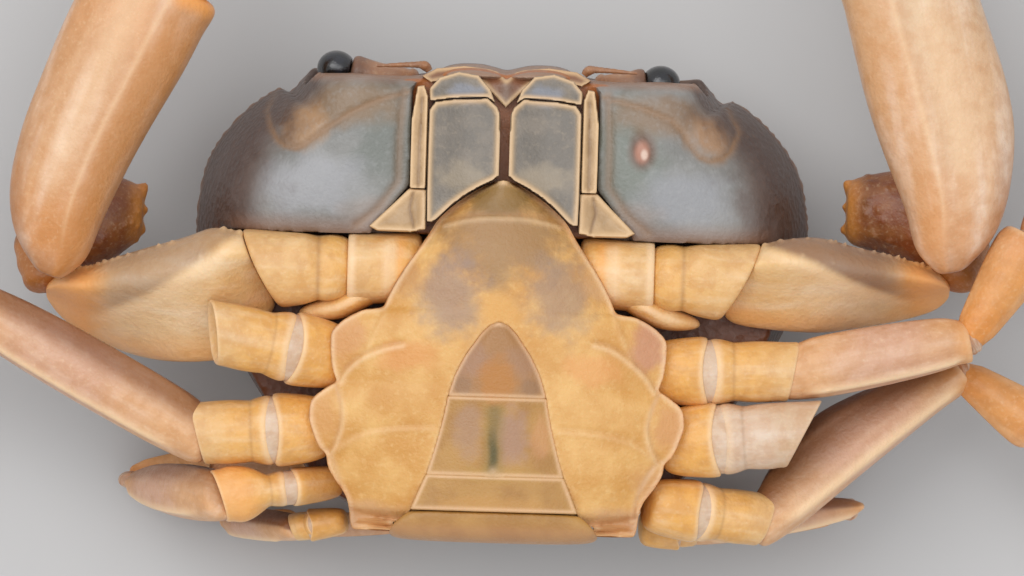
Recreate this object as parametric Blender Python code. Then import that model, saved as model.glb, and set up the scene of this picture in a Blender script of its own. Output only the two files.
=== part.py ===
# Freshwater crab, an adult male, lying on its back as a still, life-size model.
#
# The crab's own axes are the model's: +Y points to the front of the head, +Z points up
# through the breast, and the back of the shell rests on the floor at z = 0.
# Lengths are in millimetres in this file, and turned to metres as each mesh is made.
# "Left" is the -X side, the left of a viewer who looks down on the belly.

import math

import bmesh
import bpy
from mathutils import Vector

MM = 0.001
GAP = 0.3                       # space kept between neighbouring pieces

# Carapace

CARAPACE_CENTRE = (0.0, 0.8)
CARAPACE_HALF_OUTLINE = [       # right half, from the front notch round to the rear middle
    (0.0, 14.3), (1.4, 14.65), (3.6, 14.6), (4.4, 14.1), (6.8, 13.9), (9.0, 13.95), (10.9, 14.0),
    (12.0, 14.2),               # outer orbital tooth
    (13.4, 12.4),               # notch
    (14.1, 12.85),              # epibranchial tooth
    (15.4, 12.0), (16.6, 10.9), (17.7, 9.5), (18.4, 8.1), (18.8, 6.2), (18.95, 3.8),
    (18.5, 1.0), (17.4, -1.8), (15.7, -4.5), (13.7, -7.6), (11.7, -10.6),
    (10.2, -12.1), (8.2, -13.0), (4.0, -13.0), (0.0, -13.0),
]
FLAT_SHARE = 0.34               # share of the outline that is the flat of the back
DOME_POWER = 2.2
DORSAL_STEPS = [0.34, 0.5, 0.64, 0.77, 0.88, 0.96]
FLANK_STEPS = [0.012, 0.035, 0.08, 0.14, 0.22, 0.34, 0.55]
FRONT_EDGE_Z = 7.5
SIDE_EDGE_Z = 7.0
REAR_EDGE_Z = 6.0
FACE_Z = 15.6                   # level of the cheeks beside the mouth
MOUTH_FLOOR_Z = 14.4
TROUGH_FLOOR_Z = 11.5           # hollow behind the cheeks that holds the sternum and leg bases
TROUGH_FRONT_Y = 4.0

# Eyes

ORBIT_Z = 9.7
ORBIT_Y = 14.2
ORBIT_STATIONS = [              # (x, half width, half height) of the hollow
    (4.9, 1.3, 1.0), (5.6, 2.0, 1.5), (8.5, 2.2, 1.75), (11.2, 2.2, 1.7), (12.3, 1.3, 1.0),
]
STALK_INNER_X = 5.4
EYE_RADII = (1.2, 1.1, 1.25)
EYE_PLACES = {"left": (10.5, 14.1), "right": (9.5, 13.75)}
FEELER_PATH = [                 # (x, y, z, radius), folded along the edge of the orbit
    (4.9, 14.3, 12.0, 0.34), (5.15, 14.45, 12.05, 0.38), (5.6, 14.5, 11.95, 0.27),
    (6.6, 14.4, 11.85, 0.2), (8.0, 14.3, 11.8, 0.15),
]

# Breast plate and tail flap

STERNUM_OUTLINE = [             # (y, half width), from the front tip back
    (7.35, 0.7), (7.05, 1.6), (6.1, 2.6), (4.9, 3.75), (3.7, 4.5), (3.6, 4.55), (2.0, 5.8),
    (0.3, 6.7), (-0.45, 7.1), (-0.75, 8.4), (-1.3, 9.4), (-2.0, 10.15), (-3.3, 10.2), (-4.4, 10.05),
    (-5.1, 9.8), (-5.7, 10.6), (-6.4, 11.3), (-7.6, 11.3), (-8.9, 10.8), (-9.6, 10.25), (-10.4, 10.1),
    (-12.0, 9.1), (-13.0, 8.8), (-14.1, 8.6),
]
STERNUM_TOP_Z = 18.1
STERNUM_SIDE_DROP = 1.5
RECESS_FLOOR_Z = 16.8
PLEON_THICKNESS = 1.25
PLEON_CROWN = 0.45
TELSON_ROWS = [(-1.5, 0.35), (-2.0, 1.0), (-3.2, 1.9), (-4.5, 2.55), (-5.6, 2.9)]
SOMITE_6_ROWS = [(-5.9, 2.95), (-8.2, 3.45), (-10.5, 4.05)]
SOMITE_5_ROWS = [(-10.8, 4.15), (-12.7, 5.0)]
REAR_PATH = [                   # (y, z, half width) of the outer face
    (-13.0, 18.0, 5.1), (-14.0, 17.75, 5.7), (-14.5, 16.9, 6.0), (-14.65, 15.0, 6.2),
    (-14.6, 11.0, 6.3), (-14.35, 7.0, 6.0),
]
REAR_THICKNESS = 0.8
REAR_HOLLOW_Y = -13.5

# Mouth

MAXILLIPED_OUTLINE = [(0.35, 7.9), (0.45, 12.6), (1.2, 13.25), (3.6, 13.2), (4.35, 12.1),
                      (4.45, 5.2), (4.25, 4.95), (2.8, 6.5), (1.6, 7.55)]
MAXILLIPED_FRONT_Z = 15.9
MAXILLIPED_REAR_Z = 17.1
EXOPOD_ROWS = [(12.9, 0.25), (11.5, 0.33), (7.5, 0.42), (7.0, 0.42)]
EXOPOD_X = 5.2
COXAL_PLATE = [(4.75, 6.6), (5.5, 6.7), (7.6, 4.3), (4.75, 4.3)]

# Claw arms: stations are (x, y, z, width along y, height, slant), x counted outwards.
# The slant is how far x grows for each millimetre of y across the station.

CLAW_COXA = [
    (6.3, 2.1, 14.4, 3.4, 4.6, -0.6), (7.7, 1.95, 14.5, 3.8, 4.9, -0.3),
    (9.3, 1.85, 14.4, 3.6, 4.6, 0.0),
]
CLAW_COXA_LOBE = [              # the low rear lobe of the coxa, which runs out beside the ischium
    (7.4, 0.75, 13.9, 1.2, 3.3, 0.0), (8.6, 0.15, 13.9, 1.3, 3.3, 0.0),
    (10.2, -0.86, 13.8, 1.04, 2.8, 0.0), (11.4, -0.95, 13.7, 0.84, 2.0, 0.0),
    (12.3, -1.0, 13.6, 0.3, 1.0, 0.0),
]
CLAW_ISCHIUM = [
    (9.65, 1.85, 14.4, 3.2, 4.4, 0.0), (11.6, 1.8, 14.6, 4.1, 5.0, 0.2),
    (14.85, 1.65, 14.5, 4.6, 4.9, 0.5),
]
CLAW_MERUS = {
    "left": [
        (15.2, 1.6, 14.5, 4.5, 4.8, 0.5), (16.4, 0.9, 14.5, 6.2, 5.0, 0.35),
        (17.9, -0.2, 14.15, 7.9, 4.7, 0.15), (21.6, -0.75, 12.7, 6.9, 6.0, 0.0),
        (25.2, -0.75, 11.1, 4.4, 4.8, 0.0), (27.2, -0.35, 10.6, 2.4, 2.8, 0.0),
        (27.9, -0.15, 10.5, 0.9, 1.2, 0.0),
    ],
    "right": [
        (15.2, 1.75, 14.5, 4.5, 4.8, 0.5), (16.4, 1.6, 14.5, 5.4, 5.0, 0.3),
        (19.3, 1.55, 13.7, 5.9, 5.6, 0.0), (21.6, 1.45, 12.7, 5.1, 5.6, 0.0),
        (24.6, 1.45, 11.2, 3.7, 4.8, 0.0), (26.9, 1.45, 10.6, 2.2, 2.8, 0.0),
        (27.6, 1.45, 10.5, 0.9, 1.2, 0.0),
    ],
}
CLAW_WRIST = [
    (29.6, 4.3, 7.4, 2.2, 2.2, 0.0), (28.4, 4.25, 7.5, 4.4, 4.4, 0.0), (26.4, 4.3, 7.6, 5.3, 5.2, 0.0),
    (24.4, 4.5, 7.5, 5.0, 4.9, 0.0),
]
CLAW_WRIST_MARGIN = {           # the inner end of the wrist, a blunt margin that carries the teeth
    "left": [(23.2, 4.7, 7.4, 4.0, 3.9, 0.0), (22.3, 4.85, 7.4, 2.9, 2.2, 0.0)],
    "right": [(22.5, 4.5, 7.4, 4.3, 3.9, 0.0), (21.3, 4.5, 7.5, 3.5, 2.2, 0.0)],
}
WRIST_SHIFT_Y = {"left": 0.0, "right": 1.7}
WRIST_TEETH = {                 # (root x, root y, tip x, tip y) of the blunt teeth of that margin
    "left": [(23.0, 5.5, 22.0, 6.6), (22.8, 4.9, 21.8, 5.1), (22.8, 4.2, 22.0, 3.6)],
    "right": [(22.1, 7.2, 21.0, 8.0), (21.9, 6.3, 20.9, 6.5), (21.9, 5.4, 20.9, 4.9)],
}
WRIST_TOOTH_WIDTH = 1.5
PALM_BASE = {"left": (27.7, 0.9), "right": (27.6, 2.7)}
PALM_LEAN = {"left": math.radians(18.6), "right": math.radians(11.2)}
PALM_Z = 13.4
PALM_WIDTHS = {
    "left": [1.7, 4.7, 6.2, 7.1, 7.6, 8.1, 8.2, 7.9],
    "right": [1.7, 4.9, 6.6, 8.3, 8.8, 8.6, 8.3, 7.9],
}
PALM_ROWS = [                   # (along, outward bow, height)
    (0.0, 0.0, 1.8), (1.6, 0.5, 4.0), (4.2, 1.1, 5.5), (7.8, 1.2, 6.0), (11.0, 0.95, 6.2),
    (14.2, 0.6, 6.2), (17.0, 0.3, 5.9), (19.0, 0.1, 5.4),
]
FINGER_ROWS = [                 # (along, outward, width, height)
    (19.5, 1.9, 3.9, 4.2), (21.4, 2.1, 3.5, 3.9), (24.6, 1.8, 2.9, 3.3), (27.9, 1.0, 2.1, 2.5),
    (30.5, 0.1, 1.2, 1.5), (31.8, -0.5, 0.4, 0.5),
]
THUMB_ROWS = [
    (19.8, -2.25, 2.7, 3.9), (21.2, -2.75, 3.2, 4.0), (24.7, -3.0, 2.7, 3.3), (28.2, -2.5, 1.9, 2.5),
    (31.0, -1.75, 1.1, 1.5), (32.3, -1.25, 0.4, 0.5),
]
FINGER_TEETH = [22.4, 24.0, 25.4, 26.9, 28.2]    # how far along the fixed finger its teeth stand
THUMB_TEETH = [23.2, 24.7, 26.2, 27.6, 28.9]
TOOTH_SIZE = 0.95

# Walking legs: joints from the body outwards, as (x, y, z), and the width and height of the merus.
# Where a leg folds sharply, the end of one piece and the start of the next are two points.
# A profile row is (share of the length, width, height), the last two as shares of the leg's size.
# A fourth number shifts that ring to the left of the piece's own direction.

LEGS = {
    "leg_2_right": {
        "joints": [(10.75, -3.95, 14.3), (18.1, -3.75, 14.0), (28.8, -1.4, 13.3), (32.5, 4.9, 12.6),
                   (37.6, 11.6, 10.4), (41.8, 19.6, 5.2)],
        "size": (3.8, 3.8), "merus": "angled"},
    "leg_3_left": {
        "joints": [(-11.7, -8.1, 14.2), (-18.3, -8.6, 14.0), (-33.0, -0.8, 12.0), (-39.6, -3.2, 10.2),
                   (-46.4, -10.0, 6.8), (-50.4, -19.4, 1.0)],
        "size": (4.0, 4.2)},
    "leg_4_right": {
        "joints": [(10.7, -12.3, 14.0), (16.6, -12.9, 12.1), (28.6, -3.6, 8.7), (33.6, -6.9, 8.1),
                   (39.2, -14.6, 6.0), (42.8, -23.6, 1.0)],
        "size": (3.4, 3.4), "merus": "broad", "roll": 18.0},
    "leg_4_left": {
        "joints": [(-10.9, -11.5, 13.4), (-16.9, -12.4, 14.3),
                   ((-22.6, -11.9, 3.4), (-22.4, -11.6, 1.6)), (-17.6, -11.3, 1.6),
                   (-11.6, -11.0, 1.5), (-5.0, -11.3, 1.0)],
        "size": (3.4, 3.2), "base": "narrow", "merus": "pointed"},
    "leg_5_left": {
        "joints": [(-10.5, -13.95, 10.9), (-12.3, -14.25, 10.6),
                   ((-16.2, -14.1, 3.2), (-16.2, -14.2, 1.5)), (-12.2, -14.3, 1.5),
                   (-5.6, -14.0, 1.4), (0.6, -12.7, 1.0)],
        "size": (1.8, 2.8)},
    "leg_5_right": {
        "joints": [(10.5, -13.6, 9.8), (12.6, -13.5, 9.4), ((22.9, -11.95, 6.8), (21.2, -12.5, 3.2)),
                   (17.4, -12.7, 2.0), (11.2, -12.6, 1.5), (4.4, -11.8, 1.0)],
        "size": (2.5, 2.6), "merus": "pointed"},
}
STUMPS = {
    "leg_2_left": {"joints": [(-10.75, -3.5, 14.9), (-17.5, -2.35, 16.2)], "size": (4.0, 3.6),
                   "end": (-0.95, -0.31, 0.0)},
    "leg_3_right": {"joints": [(11.6, -8.2, 14.4), (18.9, -7.5, 14.7)], "size": (4.1, 3.6),
                    "end": (0.87, -0.5, 0.0)},
}
PROFILES = {
    "base": [(0.0, 0.94, 1.0), (0.28, 1.05, 1.06), (0.44, 0.92, 0.92), (0.52, 0.8, 0.86),
             (0.6, 0.92, 0.92), (0.8, 0.94, 0.94), (1.0, 0.84, 0.86)],
    "narrow": [(0.0, 0.6, 0.8), (0.3, 0.6, 0.84), (0.5, 0.56, 0.8), (0.62, 0.9, 0.92), (0.8, 1.12, 1.0),
               (1.0, 0.96, 0.88)],
    "merus": [(0.0, 0.84, 0.84), (0.1, 0.95, 0.94), (0.35, 1.0, 1.0), (0.72, 0.98, 0.98),
              (0.92, 0.86, 0.86), (1.0, 0.68, 0.7)],
    "angled": [(0.0, 0.84, 0.84), (0.1, 0.95, 0.94), (0.35, 1.0, 1.0), (0.72, 0.9, 0.94),
               (0.92, 0.76, 0.8), (1.0, 0.62, 0.66)],
    "broad": [(0.0, 0.84, 0.84, 0.0), (0.1, 1.06, 0.9, 0.06), (0.25, 1.34, 0.94, 0.24),
              (0.45, 1.42, 0.96, 0.34), (0.7, 1.06, 0.92, 0.22), (0.87, 0.76, 0.8, 0.14),
              (1.0, 0.6, 0.66, 0.0)],
    "pointed": [(0.0, 0.84, 0.84), (0.1, 0.95, 0.94), (0.35, 1.0, 1.0), (0.6, 0.88, 0.9),
                (0.82, 0.56, 0.66), (1.0, 0.24, 0.4)],
    "carpus": [(0.0, 0.6, 0.62), (0.2, 0.76, 0.76), (0.6, 0.92, 0.88), (0.88, 0.84, 0.82),
               (1.0, 0.64, 0.64)],
    "propodus": [(0.0, 0.6, 0.6), (0.18, 0.74, 0.74), (0.6, 0.72, 0.72), (0.92, 0.6, 0.6),
                 (1.0, 0.46, 0.48)],
    "dactylus": [(0.0, 0.42, 0.44), (0.14, 0.5, 0.52), (0.45, 0.42, 0.44), (0.75, 0.28, 0.3),
                 (0.94, 0.15, 0.16), (1.0, 0.06, 0.07)],
}
DACTYLUS_BOW = 0.09
SPINE_SHARES = [0.26, 0.42, 0.58, 0.74]     # where the small spines of a last piece stand
SPINE_LENGTH = 0.75
FOLD_FLATTEN = 0.62             # height share of the pieces that lie folded under the body
ROUND_SIDES = 10

COLOURS = {
    "shell": ((0.20, 0.15, 0.14), 0.5),
    "breast": ((0.72, 0.50, 0.26), 0.45),
    "claw": ((0.72, 0.42, 0.20), 0.42),
    "leg": ((0.74, 0.48, 0.26), 0.45),
    "mouthpart": ((0.34, 0.31, 0.29), 0.5),
    "eye": ((0.012, 0.012, 0.014), 0.12),
}


def start_scene():
    """Empty the scene and return the collections for the crab and for its cutters."""
    for old in list(bpy.data.objects):
        bpy.data.objects.remove(old, do_unlink=True)
    crab = bpy.data.collections.new("freshwater_crab")
    cutters = bpy.data.collections.new("cutters")
    bpy.context.scene.collection.children.link(crab)
    bpy.context.scene.collection.children.link(cutters)
    return crab, cutters


def make_materials():
    """One shader for each finish, with its colour and roughness."""
    made = {}
    for name, (colour, roughness) in COLOURS.items():
        material = bpy.data.materials.new(name)
        material.use_nodes = True
        shader = material.node_tree.nodes["Principled BSDF"]
        shader.inputs["Base Color"].default_value = (*colour, 1.0)
        shader.inputs["Roughness"].default_value = roughness
        shader.inputs["Metallic"].default_value = 0.0
        made[name] = material
    return made


crab_parts, crab_cutters = start_scene()
materials = make_materials()


def finish_mesh(name, mesh_data, collection, material=None):
    """Turn a bmesh in millimetres into a named object in metres, with its faces pointing out."""
    bmesh.ops.recalc_face_normals(mesh_data, faces=mesh_data.faces)
    bmesh.ops.triangulate(mesh_data, faces=mesh_data.faces)
    bmesh.ops.scale(mesh_data, vec=(MM, MM, MM), verts=mesh_data.verts)
    mesh = bpy.data.meshes.new(name)
    mesh_data.to_mesh(mesh)
    mesh_data.free()
    mesh.shade_smooth()
    mesh.set_sharp_from_angle(angle=math.radians(35.0))
    made = bpy.data.objects.new(name, mesh)
    collection.objects.link(made)
    if material:
        mesh.materials.append(materials[material])
    return made


def loft(rings):
    """Skin a row of rings of equal count, each end closed by a fan round its middle."""
    mesh_data = bmesh.new()
    rows = [[mesh_data.verts.new(point) for point in ring] for ring in rings]
    count = len(rows[0])
    for near, far in zip(rows, rows[1:]):
        for i in range(count):
            j = (i + 1) % count
            mesh_data.faces.new((near[i], near[j], far[j], far[i]))
    for row in (rows[0], rows[-1]):
        middle = sum((vert.co for vert in row), Vector()) / count
        hub = mesh_data.verts.new(middle)
        for i in range(count):
            mesh_data.faces.new((row[i], row[(i + 1) % count], hub))
    return mesh_data


def prism(outline, low, high):
    """A flat outline of (x, y) points raised from one level to another."""
    return loft([[Vector((x, y, level)) for x, y in outline] for level in (low, high)])


def round_section(width, height, sides=ROUND_SIDES, fullness=0.82):
    """Points of a rounded section, as (side, up), fuller than an ellipse."""
    points = []
    for i in range(sides):
        angle = 2.0 * math.pi * (i + 0.5) / sides
        across = math.copysign(abs(math.cos(angle)) ** fullness, math.cos(angle))
        up = math.copysign(abs(math.sin(angle)) ** fullness, math.sin(angle))
        points.append((0.5 * width * across, 0.5 * height * up))
    return points


def arm_section(width, height):
    """The three-faced section of a claw's upper arm: a ridge, a steep face and a long sloping face."""
    shape = [(0.5, 0.02), (0.44, 0.3), (0.24, 0.5), (0.0, 0.22), (-0.3, -0.12), (-0.5, -0.3),
             (-0.4, -0.42), (-0.05, -0.5), (0.34, -0.4)]
    return [(width * across, height * up) for across, up in shape]


def ring_at(centre, normal, section):
    """Place a section at a point, square to a direction, its up side as near +Z as can be."""
    side = normal.cross(Vector((0, 0, 1)))
    if side.length < 0.2:
        side = normal.cross(Vector((0, 1, 0)))
    side.normalize()
    up = side.cross(normal).normalized()
    return [centre + side * across + up * rise for across, rise in section]


def turned(section, angle):
    """Roll a section about its middle by an angle in degrees."""
    cos, sin = math.cos(math.radians(angle)), math.sin(math.radians(angle))
    return [(across * cos - up * sin, across * sin + up * cos) for across, up in section]


def limb_rings(start, end, normals, profile, size, bow=0.0, roll=0.0):
    """Rings of one leg piece between two joints, its end faces square to the given directions."""
    start, end = Vector(start), Vector(end)
    span = end - start
    left = Vector((-span.y, span.x, 0.0)).normalized()
    rings = []
    for share, width, height, *sideways in profile:
        normal = normals[0].lerp(normals[1], share).normalized()
        offset = Vector((0, 0, bow * span.length * math.sin(math.pi * share)))
        if sideways:
            offset += left * (sideways[0] * size[0])
        section = turned(round_section(size[0] * width, size[1] * height), roll)
        rings.append(ring_at(start + span * share + offset, normal, section))
    return rings


def cone(root, tip, width, sides=5):
    """A small spine from a root to a tip."""
    direction = (tip - root).normalized()
    return loft([ring_at(root, direction, round_section(width, width, sides, 1.0)),
                 ring_at(tip, direction, round_section(0.16 * width, 0.16 * width, sides, 1.0))])


def dactylus_spines(start, end, size, bow):
    """Small spines in a row on each edge of a leg's last piece."""
    span = end - start
    left = Vector((-span.y, span.x, 0.0)).normalized()
    shares = [row[0] for row in PROFILES["dactylus"]]
    tools = []
    for side in (-1, 1):
        for share in SPINE_SHARES:
            k = max(i for i, known in enumerate(shares) if known <= share)
            near, far = PROFILES["dactylus"][k], PROFILES["dactylus"][k + 1]
            width = near[1] + (far[1] - near[1]) * (share - near[0]) / (far[0] - near[0])
            root = start + span * share + Vector((0, 0, bow * span.length * math.sin(math.pi * share)))
            root += left * (side * 0.34 * width * size[0])
            tip = root + (left * side + span.normalized()).normalized() * SPINE_LENGTH
            tools.append(cutter("spine", cone(root, tip, 0.42)))
    return tools


def joint_ends(joint):
    """The end of the piece before a joint and the start of the piece after it, and if it folds."""
    if isinstance(joint[0], tuple):
        return Vector(joint[0]), Vector(joint[1]), True
    return Vector(joint), Vector(joint), False


def walking_leg(name, joints, size, base="base", merus="merus", roll=0.0):
    """Five pieces in a chain, with the gap between neighbours at each joint."""
    labels = ["base", "merus", "carpus", "propodus", "dactylus"]
    profiles = [PROFILES[kind] for kind in (base, merus, "carpus", "propodus", "dactylus")]
    ends = [joint_ends(joint) for joint in joints]
    folded = False
    for i, (label, profile) in enumerate(zip(labels, profiles)):
        start, end = ends[i][1], ends[i + 1][0]
        direction = (end - start).normalized()
        normals = [direction, direction]
        folded = folded or ends[i][2]
        if i > 0:
            if not ends[i][2]:
                before = (ends[i][0] - ends[i - 1][1]).normalized()
                normals[0] = (before + direction).normalized()
            start = start + normals[0] * (0.5 * GAP)
        else:
            normals[0] = Vector((math.copysign(1.0, direction.x), 0, 0))
        if i < len(labels) - 1:
            if not ends[i + 1][2]:
                after = (ends[i + 2][0] - ends[i + 1][1]).normalized()
                normals[1] = (after + direction).normalized()
            end = end - normals[1] * (0.5 * GAP)
        piece_size = (size[0], size[1] * (FOLD_FLATTEN if folded else 1.0))
        bow = DACTYLUS_BOW if label == "dactylus" and not folded else 0.0
        lean = roll if label == "merus" else 0.0
        rings = limb_rings(start, end, normals, profile, piece_size, bow, lean)
        made = finish_mesh(f"{name}_{label}", loft(rings), crab_parts, "leg")
        if label == "dactylus":
            apply_boolean(made, "UNION", dactylus_spines(start, end, piece_size, bow))


def stump(name, joints, size, end):
    """The base of a leg that was shed at its breaking joint, its broken face set aslant."""
    start, tip = Vector(joints[0]), Vector(joints[1])
    normals = [Vector((math.copysign(1.0, tip.x - start.x), 0, 0)), Vector(end)]
    rings = limb_rings(start, tip, normals, PROFILES["base"], size)
    finish_mesh(f"{name}_stump", loft(rings), crab_parts, "leg")


def keep_largest(made):
    """Drop all but the largest closed surface of a mesh."""
    mesh_data = bmesh.new()
    mesh_data.from_mesh(made.data)
    left = set(mesh_data.faces)
    shells = []
    while left:
        queue = [left.pop()]
        shell = set(queue)
        while queue:
            face = queue.pop()
            for edge in face.edges:
                for other in edge.link_faces:
                    if other in left:
                        left.remove(other)
                        shell.add(other)
                        queue.append(other)
        shells.append(shell)
    largest = max(shells, key=lambda shell: sum(face.calc_area() for face in shell))
    spare = [face for face in mesh_data.faces if face not in largest]
    bmesh.ops.delete(mesh_data, geom=spare, context="FACES")
    bmesh.ops.triangulate(mesh_data, faces=mesh_data.faces)
    mesh_data.to_mesh(made.data)
    mesh_data.free()


def apply_boolean(made, operation, tools):
    """Cut or join closed meshes, apply the result, and remove the tools."""
    holder = bpy.data.collections.new("boolean_tools")
    for tool in tools:
        holder.objects.link(tool)
    modifier = made.modifiers.new("boolean", "BOOLEAN")
    modifier.operation = operation
    modifier.solver = "EXACT"
    modifier.operand_type = "COLLECTION"
    modifier.collection = holder
    bpy.context.view_layer.update()
    evaluated = made.evaluated_get(bpy.context.evaluated_depsgraph_get())
    result = bpy.data.meshes.new_from_object(evaluated)
    made.modifiers.clear()
    old = made.data
    made.data = result
    bpy.data.meshes.remove(old)
    for tool in tools:
        bpy.data.objects.remove(tool, do_unlink=True)
    bpy.data.collections.remove(holder)
    keep_largest(made)
    made.data.shade_smooth()
    made.data.set_sharp_from_angle(angle=math.radians(35.0))
    return made


def cutter(name, mesh_data):
    """A closed mesh used only to cut, kept out of the crab's own collection."""
    made = finish_mesh(name, mesh_data, crab_cutters)
    made.hide_render = True
    made.display_type = "WIRE"
    return made


def smooth_step(low, high, value):
    share = min(1.0, max(0.0, (value - low) / (high - low)))
    return share * share * (3.0 - 2.0 * share)


def mirrored(half):
    """Close a half outline whose first and last points lie on the middle line."""
    return half + [(-x, y) for x, y in reversed(half[1:-1])]


def edge_level(x, y):
    """Height of the shell's margin: deflexed at the front, lower towards the rear."""
    front = smooth_step(8.0, 13.0, y)
    rear = smooth_step(2.0, -12.0, y)
    return SIDE_EDGE_Z + (FRONT_EDGE_Z - SIDE_EDGE_Z) * front + (REAR_EDGE_Z - SIDE_EDGE_Z) * rear


def flank_reach(x, y):
    """How far in from the margin the flank takes to rise, as a share of the outline."""
    side = smooth_step(9.5, 16.5, abs(x)) * smooth_step(-6.0, 2.0, y)
    return 0.018 + 0.085 * side


def make_carapace():
    """Domed back and rising flanks over one outline, with the mouth, trough and orbits cut in."""
    outline = mirrored(CARAPACE_HALF_OUTLINE)
    cx, cy = CARAPACE_CENTRE
    rings = []

    def row(share, level):
        return [Vector((cx + (x - cx) * share, cy + (y - cy) * share, level(x, y))) for x, y in outline]

    for share in DORSAL_STEPS:
        bend = (share - FLAT_SHARE) / (1.0 - FLAT_SHARE)
        rings.append(row(share, lambda x, y: edge_level(x, y) * bend ** DOME_POWER))
    rings.append(row(1.0, edge_level))
    for inset in FLANK_STEPS:
        rings.append(row(1.0 - inset, lambda x, y: edge_level(x, y) + (FACE_Z - edge_level(x, y))
                         * (1.0 - math.exp(-inset / flank_reach(x, y)))))
    body = finish_mesh("carapace", loft(rings), crab_parts, "shell")
    far = 40.0
    behind = [(-far, TROUGH_FRONT_Y), (-far, -far), (far, -far), (far, TROUGH_FRONT_Y)]
    tools = [cutter("trough", prism(behind, TROUGH_FLOOR_Z, far))]
    mouth = mirrored([(0.0, 13.65), (4.2, 13.65), (6.0, 13.1), (6.0, 6.9), (8.2, 3.5), (0.0, 3.5)])
    tools.append(cutter("mouth_hollow", prism(mouth, MOUTH_FLOOR_Z, far)))
    for side in (-1, 1):
        rings = []
        for x, width, height in ORBIT_STATIONS:
            section = round_section(2.0 * width, 2.0 * height)
            rings.append([Vector((side * x, ORBIT_Y + across, ORBIT_Z + up)) for across, up in section])
        tools.append(cutter("orbit", loft(rings)))
    apply_boolean(body, "DIFFERENCE", tools)


def make_eyes():
    """Stalks that lie in the orbits, each with its round cornea at the outer end."""
    for side_name, side in (("left", -1), ("right", 1)):
        eye_x, eye_y = EYE_PLACES[side_name]
        stalk_end = eye_x - EYE_RADII[0] - GAP
        rings = []
        for share, radius in ((0.0, 0.75), (0.12, 0.95), (0.5, 0.9), (0.85, 1.02), (1.0, 0.85)):
            x = STALK_INNER_X + (stalk_end - STALK_INNER_X) * share
            y = 13.2 + (eye_y - 13.2) * share
            section = round_section(2.0 * radius, 2.0 * radius, 8)
            rings.append([Vector((side * x, y + across, ORBIT_Z + up)) for across, up in section])
        finish_mesh(f"eyestalk_{side_name}", loft(rings), crab_parts, "leg")
        ball = bmesh.new()
        bmesh.ops.create_uvsphere(ball, u_segments=12, v_segments=8, radius=1.0)
        bmesh.ops.scale(ball, vec=EYE_RADII, verts=ball.verts)
        bmesh.ops.translate(ball, vec=(side * eye_x, eye_y, ORBIT_Z), verts=ball.verts)
        finish_mesh(f"eye_{side_name}", ball, crab_parts, "eye")


def make_antennae():
    """A stout first article at the inner corner of each orbit, and a short whip."""
    for side_name, side in (("left", -1), ("right", 1)):
        centres = [Vector((side * x, y, z)) for x, y, z, radius in FEELER_PATH]
        rings = []
        for i, centre in enumerate(centres):
            ahead = centres[min(i + 1, len(centres) - 1)] - centres[max(i - 1, 0)]
            radius = FEELER_PATH[i][3]
            section = round_section(2.0 * radius, 2.0 * radius, 6, 1.0)
            rings.append(ring_at(centre, ahead.normalized(), section))
        finish_mesh(f"antenna_{side_name}", loft(rings), crab_parts, "mouthpart")


def sternum_level(share, y):
    """Height of the breast plate across its half width, lower towards the tip, sides and rear."""
    front = smooth_step(2.0, 8.0, y)
    rear = smooth_step(-9.0, -14.0, y)
    return STERNUM_TOP_Z - 1.0 * front - 0.4 * rear - STERNUM_SIDE_DROP * share ** 2.2


def make_sternum():
    """The breast plate with its lobes beside each leg, and the hollow for the tail flap."""
    shares = [-1.0, -0.93, -0.72, -0.45, 0.0, 0.45, 0.72, 0.93, 1.0]
    rings = []
    for y, half in STERNUM_OUTLINE:
        low = (MOUTH_FLOOR_Z if y > TROUGH_FRONT_Y - 1.15 * GAP else TROUGH_FLOOR_Z) + GAP
        ring = [Vector((share * half, y, sternum_level(abs(share), y))) for share in shares]
        ring += [Vector((half, y, low)), Vector((0.0, y, low)), Vector((-half, y, low))]
        rings.append(ring)
    plate = finish_mesh("sternum", loft(rings), crab_parts, "breast")
    rows = TELSON_ROWS + SOMITE_6_ROWS[1:] + SOMITE_5_ROWS[1:] + [(-14.0, 6.0)]
    tip_y, tip_half = rows[0]
    half = [(0.0, tip_y + GAP), (tip_half + GAP, tip_y + GAP)]
    half += [(width + GAP, y) for y, width in rows[1:]]
    half += [(0.0, rows[-1][0])]
    rear_half = max(row[2] for row in REAR_PATH) + GAP
    rear = [(-rear_half, REAR_HOLLOW_Y), (-rear_half, -30.0), (rear_half, -30.0),
            (rear_half, REAR_HOLLOW_Y)]
    flap_hollow = cutter("flap_hollow", prism(mirrored(half), RECESS_FLOOR_Z, 30.0))
    apply_boolean(plate, "DIFFERENCE", [flap_hollow, cutter("rear_hollow", prism(rear, 0.0, 30.0))])


def flap_plate(name, rows):
    """One plate of the tail flap, crowned across its width."""
    shares = [-1.0, -0.86, -0.45, 0.0, 0.45, 0.86, 1.0]
    low = RECESS_FLOOR_Z + GAP
    rings = []
    for y, half in rows:
        top = low + PLEON_THICKNESS
        ring = [Vector((share * half, y, top - PLEON_CROWN * abs(share) ** 2.5)) for share in shares]
        ring += [Vector((half, y, low)), Vector((-half, y, low))]
        rings.append(ring)
    finish_mesh(name, loft(rings), crab_parts, "breast")


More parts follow.
